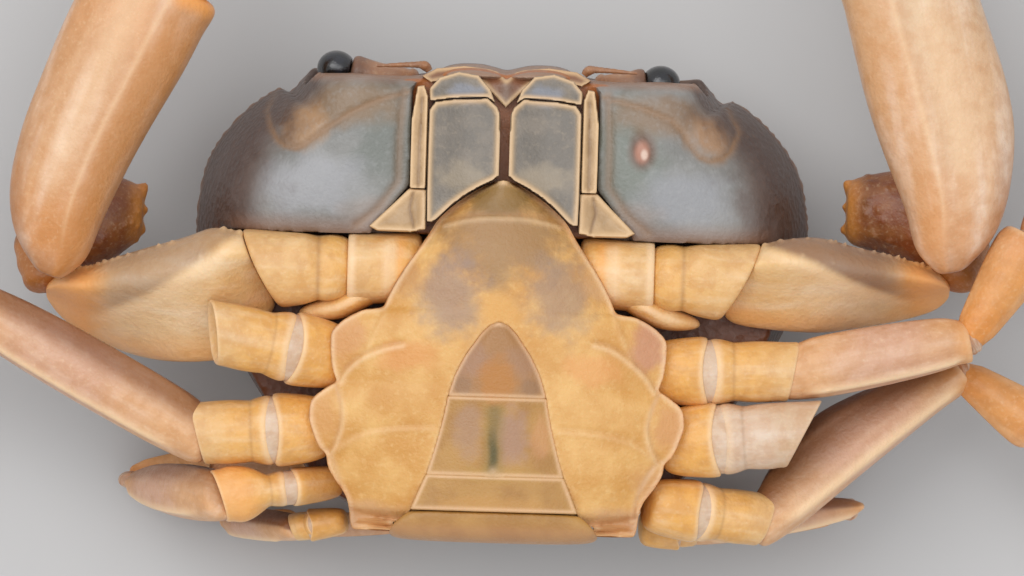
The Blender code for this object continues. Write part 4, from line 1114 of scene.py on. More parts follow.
def make_eyes():
    """Jointed stalks in the orbits, and the glossy cornea that wraps the end of each."""
    for name, side in SIDES:
        x, y = EYE_PLACES[name]
        length = x - STALK_ROOT_X
        start = Vector((side * STALK_ROOT_X, STALK_ROOT_Y, ORBIT_Z))
        middle = Vector((side * x, y, ORBIT_Z))
        rows = STALK_START + [(length * 0.5, 1.7, 1.75)]
        rows += [(length - back, width, height) for back, width, height in STALK_NECK]
        stalk = draw_out(f"eye_stalk_{name}", oval(12, 1.0), straight(rows))
        subdivide(stalk)
        note_lay(stalk, length)
        add_mark(stalk, "shade", 0.75 * smooth_step(0.5, 0.75, share_of(stalk)))
        place(stalk, start, middle - start)
        finish(stalk, "stalk", "leg", f"eyestalk_{name}")
        alone()
        bpy.ops.mesh.primitive_uv_sphere_add(segments=32, ring_count=20, radius=1.0)
        ball = bpy.context.object
        ball.name = ball.data.name = f"eye_{name}_cornea"
        open_up(ball)
        bpy.ops.transform.resize(value=EYE_RADII)
        bpy.ops.mesh.bisect(plane_co=(-side * EYE_CUT, 0.0, 0.0), plane_no=(side, 0.12, -0.1),
                            clear_inner=True, use_fill=True)
        modify(ball, "BEVEL", width=0.12, segments=2, limit_method="ANGLE", angle_limit=math.radians(40.0))
        place(ball, middle, (1.0, 0.0, 0.0))
        close_up(ball)
        finish(ball, "eye", "eye", f"eye_{name}")


def make_feelers():
    """A stout first article in the corner of each orbit, and a short ringed whip."""
    for name, side in SIDES:
        rows = smooth_rows(FEELER_ROWS, 4)
        bpy.ops.curve.primitive_bezier_curve_add()
        curve = bpy.context.object
        curve.data.splines.clear()
        line = curve.data.splines.new("POLY")
        line.points.add(len(rows) - 1)
        for i, (point, (x, y, z, width)) in enumerate(zip(line.points, rows)):
            point.co = (side * x, y, z, 1.0)
            ringed = i > WHIP_START and i % 2
            point.radius = width * 0.5 * (1.14 if ringed else 1.0)
        curve.data.bevel_depth = 1.0
        curve.data.bevel_resolution = 3
        curve.data.use_fill_caps = True
        alone(curve)
        bpy.ops.object.convert(target="MESH")
        whip = bpy.context.object
        whip.name = whip.data.name = f"feeler_{name}"
        close_up(whip)
        finish(whip, "stalk", "mouthpart", f"antenna_{name}")


make_eyes()
make_feelers()

# Limbs

def shade_lower(piece, strength=0.8):
    """Mark the side of a limb piece that faces the crab's back, which is darker."""
    add_mark(piece, "shade", strength * smooth_step(0.1, -0.6, points_of(piece)[1][:, 2]))


def bumps(piece, places, sizes, heights, mark=None, strength=1.0):
    """Raise a small grain or tooth at each of some points."""
    co = points_of(piece)[0]
    total = np.zeros(len(co))
    for middle, size, height in zip(places, sizes, heights):
        weight = np.exp(-np.sum((co - np.array(middle)) ** 2, axis=1) / size ** 2)
        total = np.maximum(total, weight * height)
    bulge(piece, total, 1.0)
    if mark:
        add_mark(piece, mark, strength * total / max(total.max(), 1e-6))


def joint_skin(name, at, along, width, height, node, length=1.2, slot="leg", look="membrane"):
    """The pleated soft skin in a joint."""
    rows = [(share * length, width * part, height * part) for share, part in PLEATS]
    skin = draw_out(name, oval(), straight(rows))
    subdivide(skin)
    note_lay(skin, length)
    place(skin, at, along)
    finish(skin, look, slot, node)


# Rows of (share of the length, millimetres past it, width, height), the last ones turned in as a socket.
COXA_ROWS = [
    (0, -1.6, 0.76, 0.7), (0, -1, 0.94, 0.86), (0, -0.2, 1.04, 0.98), (0.08, 0, 1.08, 1.02),
    (0.16, 0, 1.12, 1.06), (0.2, 0, 1.13, 1.08), (0.235, 0, 1.09, 1.04), (0.225, 0, 0.96, 0.9),
    (0.15, 0, 0.8, 0.78)]
LENS_ROWS = [
    (0.12, 0, 0.82, 0.8), (0.18, 0, 1, 0.97), (0.24, 0, 1.03, 1.01), (0.32, 0, 1.03, 1.01),
    (0.4, 0, 1, 0.97), (0.48, 0, 0.8, 0.8)]
ISCHIUM_ROWS = [
    (0.32, 0, 0.76, 0.76), (0.33, 0, 0.94, 0.92), (0.355, 0, 1.05, 1.02), (0.39, 0, 1.07, 1.03),
    (0.45, 0, 1, 0.99), (0.5, 0, 0.93, 0.94), (0.54, 0, 0.95, 0.95), (0.68, 0, 0.99, 0.97),
    (0.84, 0, 0.97, 0.96), (1, -0.5, 0.95, 0.93), (1, -0.15, 0.97, 0.93), (1, 0.02, 0.91, 0.89),
    (1, -0.1, 0.78, 0.79), (1, -0.5, 0.6, 0.6)]
# A merus row may add how far its middle lies to the left of the piece's own direction.
MERUS_ROOT = [(0, -1, 0.66, 0.68), (0, -0.3, 0.84, 0.84)]
MERUS_BASE = MERUS_ROOT + [(0, 0.3, 0.9, 0.9), (0.08, 0.3, 0.97, 0.95), (0.22, 0, 1, 0.99)]
MERUS_ROWS = {
    "plain": MERUS_BASE + [
        (0.45, 0, 1.01, 1), (0.7, 0, 0.98, 0.98), (0.86, 0, 0.88, 0.9), (1, -0.9, 0.78, 0.82),
        (1, -0.25, 0.72, 0.76), (1, 0.05, 0.6, 0.66), (1, -0.2, 0.48, 0.52), (1, -0.6, 0.4, 0.44)],
    "angled": MERUS_BASE + [
        (0.45, 0, 0.99, 1), (0.7, 0, 0.92, 0.96), (0.86, 0, 0.84, 0.88),
        (1, -0.9, 0.74, 0.78), (1, -0.25, 0.7, 0.7, -0.04), (1, 0.05, 0.58, 0.6, -0.08),
        (1, -0.2, 0.44, 0.5), (1, -0.6, 0.36, 0.42)],
    "broad": MERUS_ROOT + [
        (0, 0.3, 0.92, 0.86, 0.02), (0.1, 0, 1.06, 0.9, 0.06), (0.25, 0, 1.34, 0.94, 0.24),
        (0.45, 0, 1.42, 0.96, 0.34), (0.7, 0, 1.08, 0.92, 0.22), (0.87, 0, 0.8, 0.8, 0.12),
        (1, -0.6, 0.68, 0.7, 0.03), (1, 0, 0.58, 0.62), (1, -0.2, 0.44, 0.5), (1, -0.6, 0.36, 0.42)],
    "pointed": MERUS_ROOT + [
        (0, 0.3, 0.9, 0.9), (0.1, 0.3, 0.97, 0.95), (0.3, 0, 1, 1), (0.5, 0, 0.94, 0.95),
        (0.68, 0, 0.78, 0.82), (0.84, 0, 0.52, 0.64), (0.95, 0, 0.32, 0.48), (1, 0, 0.14, 0.26)],
}
CARPUS_ROWS = [
    (0, -0.4, 0.36, 0.4), (0, -0.05, 0.46, 0.5), (0, 0.35, 0.56, 0.6), (0.18, 0, 0.66, 0.7),
    (0.4, 0, 0.79, 0.8), (0.62, 0, 0.93, 0.88), (0.82, 0, 1.02, 0.92), (1, -0.6, 0.97, 0.88),
    (1, -0.25, 0.91, 0.84), (1, -0.05, 0.78, 0.74), (1, -0.2, 0.58, 0.58), (1, -0.6, 0.42, 0.45)]
PROPODUS_ROWS = [
    (0, -0.4, 0.34, 0.38), (0, -0.05, 0.44, 0.48), (0, 0.35, 0.56, 0.6), (0.15, 0, 0.73, 0.72),
    (0.35, 0, 0.77, 0.75), (0.6, 0, 0.74, 0.72), (0.85, 0, 0.64, 0.63), (1, -0.5, 0.54, 0.55),
    (1, -0.1, 0.52, 0.52), (1, -0.2, 0.4, 0.42), (1, -0.5, 0.3, 0.32)]
DACTYLUS_ROWS = [
    (0, -0.35, 0.28, 0.3), (0, 0, 0.38, 0.4), (0, 0.4, 0.46, 0.48), (0.14, 0, 0.51, 0.52),
    (0.3, 0, 0.47, 0.48), (0.5, 0, 0.41, 0.43), (0.7, 0, 0.31, 0.33), (0.84, 0, 0.22, 0.24),
    (0.94, 0, 0.13, 0.14), (1, -0.08, 0.05, 0.06)]
DACTYLUS_BOW = 0.09
FOLD_FLATTEN = 0.62
# (share of the length, part of the width) where a base is slim.
NARROW_BASE = [(0, 0.62), (0.5, 0.6), (0.62, 0.92), (0.8, 1.12), (1, 1)]


def limb_shape(name, rows, length, size, bow=0.0):
    """One limb piece drawn on +X and rounded, with its stations."""
    stations = []
    for share, past, width, height, *aside in rows:
        x = share * length + past
        lift = bow * length * math.sin(math.pi * min(max(x / length, 0.0), 1.0))
        stations.append((x, sum(aside) * size[0], lift, size[0] * width, size[1] * height))
    piece = draw_out(name, oval(), stations)
    subdivide(piece)
    add_mark(piece, "share", points_of(piece)[0][:, 0] / length)
    return piece, stations


def curl(piece, at, reach, depth, half):
    """Bow the edge of a ring, so that its two sides run further out than its middle."""
    co = points_of(piece)[0]
    weight = bell(co[:, 0], at, reach)
    co[:, 0] += depth * weight * np.clip(np.abs(co[:, 1]) / half, 0.0, 1.0) ** 2
    set_points(piece, co)


def slant(piece, at, fade, lean):
    """Set a piece's end face aslant, by drawing its two sides out by different amounts."""
    co = points_of(piece)[0]
    co[:, 0] += lean * co[:, 1] * smooth_step(fade, at, co[:, 0])
    set_points(piece, co)


def limb_piece(name, rows, start, end, size, look, node, edges, warm=0.0, roll=0.0, rim=0.5, lean=0.0,
               painted_shade=0.0):
    """One limb piece from joint to joint, with its rim, its ridges, its darker lower side and any painted
    shade on its front face.
    """
    length = (end - start).length
    piece = limb_shape(name, rows, length, size)[0]
    if roll:
        piece.rotation_euler = (math.radians(roll), 0.0, 0.0)
        apply_place(piece)
    slant(piece, 0.0, 1.8, lean)
    note_lay(piece, length)
    share = share_of(piece)
    for angle, width, height, mark in edges:
        ridge_along(piece, angle, width, height, 0.04, 0.97, mark)
    reach = 0.22 / length
    add_mark(piece, "rim", rim * np.exp(-((share - 1.0 + 0.8 * reach) / reach) ** 2))
    add_mark(piece, "warm", warm * smooth_step(0.86, 1.0, share))
    shade_lower(piece)
    ahead = points_of(piece)[1][:, 1] * math.copysign(1.0, end.x - start.x)
    # Painted shade on the front face, where the legs beside it shadow it.
    add_mark(piece, "shade", painted_shade * smooth_step(-0.12, 0.55, ahead))
    place(piece, start, end - start)
    finish(piece, look, "leg", node)


def last_piece(name, start, end, size, bow, node):
    """The claw-like last piece of a leg: curved, with a horn tip and rows of small spines."""
    length = (end - start).length
    piece, stations = limb_shape(name, DACTYLUS_ROWS, length, size, bow)
    body_points = len(piece.data.vertices)
    spines = []
    for angle, first in SPINE_ROWS:
        ridge_along(piece, angle, 0.14, 0.09, 0.08, 0.92)
    for angle, first in SPINE_ROWS:
        for k in range(SPINES_IN_ROW):
            x = (first + SPINE_SPACING * k) * length
            lift, width, height = [along_rows(x, stations, column) for column in (2, 3, 4)]
            root = Vector((x, 0.41 * width * math.cos(angle), lift + 0.41 * height * math.sin(angle)))
            spine = draw_out("spine", oval(6, 1.0), straight([(0.0, 0.34, 0.34), (0.3, 0.22, 0.22),
                                                              (0.62, 0.04, 0.04)]))
            place(spine, root, (1.1, math.cos(angle), math.sin(angle)))
            add_mark(spine, "horn", 0.75)
            spines.append(spine)
    alone(piece)
    for spine in spines:
        spine.select_set(True)
    bpy.ops.object.join()
    note_lay(piece, length)
    body = np.arange(len(piece.data.vertices)) < body_points
    add_mark(piece, "horn", smooth_step(0.8, 0.93, share_of(piece)) * body)
    shade_lower(piece)
    place(piece, start, end - start)
    finish(piece, "shank", "leg", node)


# A leg's painted-shade strength darkens the front face of its upper piece, for the shadow of the legs beside
# it.
LEGS = {
    "leg_2_right": {
        "joints": [
            (10.75, -3.95, 14.3), (18.1, -3.75, 14), (28.8, -1.4, 13.3), (32.5, 4.9, 12.6),
            (37.6, 11.6, 10.4), (41.8, 19.6, 5.2)],
        "size": (3.8, 3.8), "merus": "angled"},
    "leg_3_left": {
        "joints": [
            (-11.7, -8.1, 14.2), (-18.3, -8.6, 14), (-33, -0.8, 12), (-39.6, -3.2, 10.2), (-46.4, -10, 6.8),
            (-50.4, -19.4, 1)],
        "size": (4, 4.2), "painted_shade": 0.8},
    "leg_4_right": {
        "joints": [
            (10.7, -12.3, 14), (16.6, -12.9, 12.1), (28.6, -3.6, 8.7), (33.6, -6.9, 8.1), (39.2, -14.6, 6),
            (42.8, -23.6, 1)],
        "size": (3.4, 3.4), "merus": "broad", "roll": -18, "painted_shade": 0.95},
    "leg_4_left": {
        "joints": [
            (-10.9, -11.5, 13.4), (-16.9, -12.4, 14.3), ((-22.6, -11.9, 3.4), (-22.4, -11.6, 1.6)),
            (-17.6, -11.3, 1.6), (-11.6, -11, 1.5), (-5, -11.3, 1)],
        "size": (3.4, 3.2), "merus": "pointed", "slim": True, "painted_shade": 0.6},
    "leg_5_left": {
        "joints": [
            (-10.5, -13.95, 10.9), (-12.3, -14.25, 10.6), ((-16.2, -14.1, 3.2), (-16.2, -14.2, 1.5)),
            (-12.2, -14.3, 1.5), (-5.6, -14, 1.4), (0.6, -12.7, 1)],
        "size": (1.8, 2.8), "painted_shade": 2},
    "leg_5_right": {
        "joints": [
            (10.5, -13.6, 9.8), (12.6, -13.5, 9.4), ((22.9, -11.95, 6.8), (21.2, -12.5, 3.2)),
            (17.4, -12.7, 2), (11.2, -12.6, 1.5), (4.4, -11.8, 1)],
        "size": (2.5, 2.6), "merus": "pointed", "painted_shade": 2.4},
}
# Each stump is (start, end, size, lean of its broken end, finish of its outer piece).
STUMPS = {
    "leg_2_left": ((-10.75, -3.5, 14.9), (-17.5, -2.35, 16.2), (4, 3.6), -0.3, "base"),
    "leg_3_right": ((11.6, -8.2, 14.4), (18.9, -7.5, 14.7), (4.1, 3.6), 0.62, "lens"),
}
# Ridges along the upper piece as (angle, width, height, mark), the sharper one towards the rear.
UPPER_EDGES = {
    1: [(math.pi - 0.75, 0.26, 0.2, "rim"), (0.5, 0.3, 0.1, None)],
    -1: [(0.75, 0.26, 0.2, "rim"), (math.pi - 0.5, 0.3, 0.1, None)],
}
LOWER_EDGES = [(0.32, 0.22, 0.1, None), (math.pi - 0.32, 0.22, 0.1, None), (math.pi * 0.5, 0.4, 0.05, None)]
SPINES_IN_ROW = 5
SPINE_SPACING = 0.14             # share of the piece's length
SPINE_ROWS = [(0.32, 0.2), (math.pi - 0.32, 0.2), (math.pi * 0.5, 0.27)]    # (angle, share of the first)
PLEATS = [(-0.5, 0.62), (-0.36, 0.86), (-0.22, 0.8), (-0.08, 0.92), (0.08, 0.82), (0.22, 0.88), (0.36, 0.76),
          (0.5, 0.5)]            # (share, part of the width) of a joint's soft skin


def joint_ends(joint):
    """The end of the piece before a joint and the start of the piece after it."""
    if isinstance(joint[0], tuple):
        return Vector(joint[0]), Vector(joint[1])
    return Vector(joint), Vector(joint)


def make_leg_base(name, node, start, end, size, lean=0.0, slim=False, outer="base"):
    """The first ring of a leg, the soft skin in its joint, and the breaking piece beyond."""
    length = (end - start).length
    half = 0.5 * size[0]
    for label, rows, look in (("coxa", COXA_ROWS, "base"), ("skin", LENS_ROWS, "lens"),
                              ("ischium", ISCHIUM_ROWS, outer)):
        if slim:
            rows = [(share, past, width * float(along_rows(share, NARROW_BASE)), height)
                    for share, past, width, height in rows]
        piece = limb_shape(f"{name}_{label}", rows, length, size)[0]
        if label == "coxa":
            curl(piece, 0.23 * length, 0.5, 0.36, half)
        if label == "ischium":
            curl(piece, 0.33 * length, 0.6, -0.36, half)
            slant(piece, length, length - 2.6, lean)
        share = share_of(piece)
        if label == "coxa":
            add_mark(piece, "rim", 0.7 * smooth_step(0.17, 0.22, share))
            # Painted shade on the near end of a slim coxa, which lies low and in shadow.
            add_mark(piece, "shade", 0.5 * slim * smooth_step(0.22, 0.1, share))
        if label == "ischium":
            add_mark(piece, "rim", 0.7 * smooth_step(0.31, 0.34, share) * smooth_step(0.43, 0.37, share))
            add_mark(piece, "seam", 0.3 * bell(share, 0.49, 0.014))
            add_mark(piece, "rim", 0.5 * smooth_step(0.96, 1.0, share))
            add_mark(piece, "warm", 0.5 * slim * smooth_step(0.5, 0.8, share))
        note_lay(piece)
        shade_lower(piece)
        place(piece, start, end - start)
        finish(piece, look, "leg", node)


def make_leg(name, joints, size, merus="plain", roll=0.0, painted_shade=0.0, slim=False):
    """A walking leg from its base to its tip."""
    ends = [joint_ends(joint) for joint in joints]
    side = 1 if joints[0][0] > 0.0 else -1
    make_leg_base(name, f"{name}_base", ends[0][1], ends[1][0], size, side * 0.2, slim)
    folded = isinstance(joints[2][0], tuple)
    flat = (size[0], size[1] * (FOLD_FLATTEN if folded else 1.0))
    limb_piece(f"{name}_upper", MERUS_ROWS[merus], ends[1][1], ends[2][0], size, "leg", f"{name}_merus",
               UPPER_EDGES[side], 0.3, roll, 0.3, side * 0.25, painted_shade)
    for i, label, rows, look, node in ((2, "wrist", CARPUS_ROWS, "knee", "carpus"),
                                       (3, "shank", PROPODUS_ROWS, "shank", "propodus")):
        limb_piece(f"{name}_{label}", rows, ends[i][1], ends[i + 1][0], flat, look, f"{name}_{node}",
                   LOWER_EDGES)
    bow = 0.0 if folded else DACTYLUS_BOW
    last_piece(f"{name}_last", ends[4][1], ends[5][0], flat, bow, f"{name}_dactylus")
    for i, label, part, node in ((2, "knee", 0.62, "carpus"), (3, "shin_joint", 0.5, "propodus"),
                                 (4, "last_joint", 0.4, "dactylus")):
        middle = (ends[i][0] + ends[i][1]) * 0.5
        along = ends[i + 1][0] - ends[i - 1][1]
        joint_skin(f"{name}_{label}", middle, along, size[0] * part, flat[1] * part, f"{name}_{node}")


for leg_name, leg in LEGS.items():
    make_leg(leg_name, **leg)
for stump, (stump_start, stump_end, stump_size, stump_lean, stump_look) in STUMPS.items():
    make_leg_base(stump, f"{stump}_stump", Vector(stump_start), Vector(stump_end), stump_size, stump_lean,
                  outer=stump_look)

# Claws

CLAW_COXA_ROWS = [
    (4.7, 2.1, 14.1, 3.4, 3.6), (5.2, 2.05, 14.2, 4.2, 4.3), (6, 1.95, 14.35, 4.3, 4.8),
    (8, 1.8, 14.5, 4.3, 4.95), (8.8, 1.8, 14.5, 4.3, 4.95), (9.2, 1.8, 14.45, 4.35, 4.95),
    (9.45, 1.8, 14.4, 4.15, 4.75), (9.2, 1.8, 14.4, 3.4, 4), (8.6, 1.8, 14.4, 2.6, 3.2)]
CLAW_ISCHIUM_ROWS = [
    (9, 1.8, 14.3, 2.9, 3.8), (9.35, 1.8, 14.4, 3.6, 4.4), (9.8, 1.8, 14.45, 4, 4.8),
    (10.5, 1.78, 14.5, 4.15, 4.95), (11, 1.76, 14.5, 3.95, 4.8), (11.3, 1.75, 14.5, 3.95, 4.8),
    (11.8, 1.75, 14.55, 4.25, 5.05), (12.8, 1.7, 14.55, 4.45, 5.1), (14, 1.67, 14.5, 4.6, 5.05),
    (14.6, 1.65, 14.5, 4.72, 5.05), (14.95, 1.65, 14.5, 4.66, 4.95), (15.1, 1.65, 14.5, 4.2, 4.5),
    (14.7, 1.65, 14.5, 3.2, 3.6)]
CLAW_LOBE_ROWS = [
    (6.6, 1, 14, 1.2, 3.2), (7.4, 0.65, 14.2, 1.6, 3.6), (8.6, 0.1, 14.3, 1.9, 3.7),
    (9.4, -0.36, 14.3, 1.8, 3.5), (10.2, -0.66, 14.2, 1.55, 3.2), (11.2, -0.85, 14.1, 1.2, 2.6),
    (11.9, -0.95, 14, 0.8, 1.8), (12.3, -1, 13.9, 0.3, 0.8)]
CLAW_MERUS_ROWS = {
    "left": [
        (15.1, 1.6, 14.5, 4.5, 4.7), (16.4, 0.9, 14.5, 6.2, 5), (17.9, -0.2, 14.15, 7.9, 4.7),
        (21.6, -0.75, 12.7, 6.9, 6), (25.2, -0.75, 11.1, 4.5, 4.8), (27, -0.4, 10.7, 2.7, 3.1),
        (27.8, -0.2, 10.6, 1.1, 1.5)],
    "right": [
        (15.1, 1.75, 14.5, 4.5, 4.7), (16.4, 1.6, 14.5, 5.4, 5), (19.3, 1.55, 13.7, 5.9, 5.6),
        (21.6, 1.45, 12.7, 5.1, 5.6), (24.6, 1.45, 11.2, 3.9, 4.8), (26.7, 1.45, 10.7, 2.5, 3.1),
        (27.5, 1.45, 10.6, 1.1, 1.5)],
}
ARM_START_X = 15.0
ARM_LENGTH = 12.4
CREST_RUN = (16.0, 26.6)
CLAW_WRIST_ROWS = [
    (29.6, 4.1, 7.4, 2.6, 2.2), (28.4, 3.9, 7.5, 5.2, 4.4), (26.4, 4, 7.6, 6.1, 5.3),
    (24.4, 4.4, 7.5, 5.4, 4.9)]
CLAW_WRIST_MARGIN = {
    "left": [(23.2, 4.7, 7.4, 4.2, 4), (22.5, 4.8, 7.4, 3.3, 2.9), (22.2, 4.85, 7.4, 2.4, 2)],
    "right": [(22.5, 4.5, 7.4, 4.5, 4), (21.6, 4.5, 7.5, 3.9, 2.9), (21.2, 4.5, 7.5, 3, 2)],
}
WRIST_SHIFT_Y = {"left": 0, "right": 1.7}
PALM_BASE = {"left": (27.7, 0.9), "right": (27.6, 2.7)}
PALM_LEAN = {"left": 18.6, "right": 11.2}    # degrees inwards
PALM_Z = 13.4
PALM_WIDTHS = {
    "left": [1.7, 4.7, 6.2, 7.1, 7.6, 8.1, 8.2, 7.9],
    "right": [1.7, 4.9, 6.6, 8.3, 8.8, 8.6, 8.3, 7.9],
}
# Rows of the palm are (along, outward bow, height), those of the fingers (along, outward, width, height).
PALM_ROWS = [
    (0, 0, 1.8), (1.6, 0.5, 4), (4.2, 1.1, 5.5), (7.8, 1.2, 6), (11, 0.95, 6.2), (14.2, 0.6, 6.2),
    (17, 0.3, 5.9), (19, 0.1, 5.4)]
FINGER_ROWS = [
    (19.5, 1.9, 3.9, 4.2), (21.4, 2.1, 3.5, 3.9), (24.6, 1.8, 2.9, 3.3), (27.9, 1, 2.1, 2.5),
    (30.5, 0.1, 1.2, 1.5), (31.8, -0.5, 0.4, 0.5)]
THUMB_ROWS = [
    (19.35, -2.25, 2.5, 3.6), (20.3, -2.5, 3, 4), (21.4, -2.8, 3.2, 4), (24.7, -3, 2.7, 3.3),
    (28.2, -2.5, 1.9, 2.5), (31, -1.75, 1.1, 1.5), (32.3, -1.25, 0.4, 0.5)]
PALM_LENGTH = 19.2
THUMB_LENGTH = 32.0
FINGER_TEETH = 12
WRIST_REACH = 29.0
WRIST_KNOBS = 60
WRIST_VOXEL = 0.14
# (root x, root y, tip x, tip y, width) of the blunt teeth of the wrist's margin.
WRIST_TEETH = {
    "left": [(23, 5.5, 22, 6.7, 1.7), (22.8, 4.9, 21.85, 5.1, 1.3), (22.8, 4.2, 22, 3.6, 1.3)],
    "right": [(22.1, 7.2, 21, 8.1, 1.8), (21.9, 6.3, 20.9, 6.55, 1.3), (21.9, 5.4, 20.9, 4.9, 1.4)],
}


def arm_draw(name, section, rows, side):
    """Draw a claw arm piece outwards through rows (outwards, y, z, width, height)."""
    section = [(side * across, rise) for across, rise in section]
    piece = draw_out(name, section, [(x, side * y, z, width, height) for x, y, z, width, height in rows])
    subdivide(piece)
    return piece


def shear_arm(piece, side, rows, weight):
    """Slant part of an arm piece, so that it meets its neighbour along a slanting line."""
    co = points_of(piece)[0]
    across = side * co[:, 1] - along_rows(co[:, 0], rows)
    co[:, 0] += weight(co[:, 0]) * (0.5 * across - 0.05 * across ** 2)
    set_points(piece, co)


def finish_arm(piece, side, look, node):
    place(piece, (0.0, 0.0, 0.0), (side, 0.0, 0.0))
    finish(piece, look, "claw", node)


def make_claw_base(name, side):
    """The two base pieces of a claw arm, and the lobe behind the first."""
    for label, rows, length in (("coxa", CLAW_COXA_ROWS, 9.4), ("coxa_lobe", CLAW_LOBE_ROWS, 12.3),
                                ("ischium", CLAW_ISCHIUM_ROWS, 15.0)):
        piece = arm_draw(f"claw_{name}_{label}", oval(), rows, side)
        if label == "ischium":
            shear_arm(piece, side, rows[:6],
                      lambda x: smooth_step(10.5, 15.0, x) * smooth_step(19.5, 15.4, x))
        note_lay(piece, length)
        co, facing = points_of(piece)
        x, up = co[:, 0], facing[:, 2]
        if label == "coxa":
            add_mark(piece, "rim", 0.8 * smooth_step(0.925, 0.97, share_of(piece)))
            add_mark(piece, "rim", 0.75 * (bell(x, 6.85, 0.42) * smooth_step(0.3, 0.8, up)))
            add_mark(piece, "warm", 0.5 * bell(x, 6.1, 0.25) * smooth_step(0.2, 0.7, up))
        elif label == "coxa_lobe":
            add_mark(piece, "rim", 0.6 * smooth_step(0.8, 1.0, up) * smooth_step(7.4, 9.4, x))
        else:
            bumps(piece, [(12.2, side * 3.1, 16.6), (10.6, side * 0.2, 16.5)], [1.0, 1.0], [0.3, 0.3])
            add_mark(piece, "seam", 0.45 * (bell(x, 11.15, 0.16) * smooth_step(-0.2, 0.3, up)))
        shade_lower(piece)
        finish_arm(piece, side, "base", f"claw_{label.split('_')[0]}_{name}")


def make_arm(name, side):
    """The three-sided upper arm, with its grained crest and its front face darkened, partly its own greyer
    tone and partly painted shade.
    """
    rows = CLAW_MERUS_ROWS[name]
    x, y, z, width, height = rows[-1]
    stations = smooth_rows(rows, 3) + [(x + 0.15, y, z, width * 0.5, height * 0.5)]
    x, y, z, width, height = stations[0]
    stations = [(x - 0.2, y, z, width * 0.8, height * 0.8)] + stations
    merus = arm_draw(f"claw_{name}_upper", ARM_SECTION, stations, side)
    shear_arm(merus, side, rows, lambda x: smooth_step(20.0, 15.4, x))
    subdivide(merus, 1)
    note_lay(merus)
    co, facing = points_of(merus)
    share = (co[:, 0] - ARM_START_X) / ARM_LENGTH
    add_mark(merus, "share", share)
    ahead = (side * co[:, 1] - along_rows(co[:, 0], rows)) / (0.5 * along_rows(co[:, 0], rows, 3))
    beyond = ahead - 1.0 + 1.6 * share
    face = smooth_step(0.0, 0.4, facing[:, 2])
    # Painted shade over the front face's own grey-mauve tone, in a wedge that narrows towards the tip.
    painted_shade = 0.62 if name == "left" else 0.9
    add_mark(merus, "shade", painted_shade * smooth_step(-0.1, 0.14, beyond) * smooth_step(0.94, 0.62, share))
    add_mark(merus, "rim", 0.5 * bell(beyond, -0.16, 0.12) * smooth_step(0.9, 0.7, share) * face)
    add_mark(merus, "warm", 0.4 * smooth_step(-0.45, -0.95, ahead) * face)
    shade_lower(merus, 0.9)
    bumps(merus, *crest_places(rows, side), "rim", 0.5)
    add_mark(merus, "warm", smooth_step(0.7, 0.95, share))
    # Painted light: the tip is lightened with the cream rim colour to offset the shadow that the palm casts
    # on it.
    add_mark(merus, "rim", 0.35 * smooth_step(0.8, 0.96, share) * face)
    finish_arm(merus, side, "arm", f"claw_merus_{name}")


def crest_places(rows, side):
    """Uneven grains along the front crest of the upper arm, and a few beside it."""
    rng = np.random.default_rng(7)
    places, sizes, heights = [], [], []
    x, last = CREST_RUN
    while x < last:
        y, z, width, height = [along_rows(x, rows, column) for column in (1, 2, 3, 4)]
        places.append((x, side * (y + rng.uniform(0.44, 0.5) * width), z + 0.2 * height))
        sizes.append(rng.uniform(0.12, 0.26))
        heights.append(rng.uniform(0.08, 0.3))
        if rng.uniform() < 0.3:
            places.append((x + 0.2, side * (y + rng.uniform(0.2, 0.34) * width), z + 0.48 * height))
            sizes.append(rng.uniform(0.1, 0.18))
            heights.append(rng.uniform(0.04, 0.12))
        x += rng.uniform(0.25, 0.62)
    return places, sizes, heights


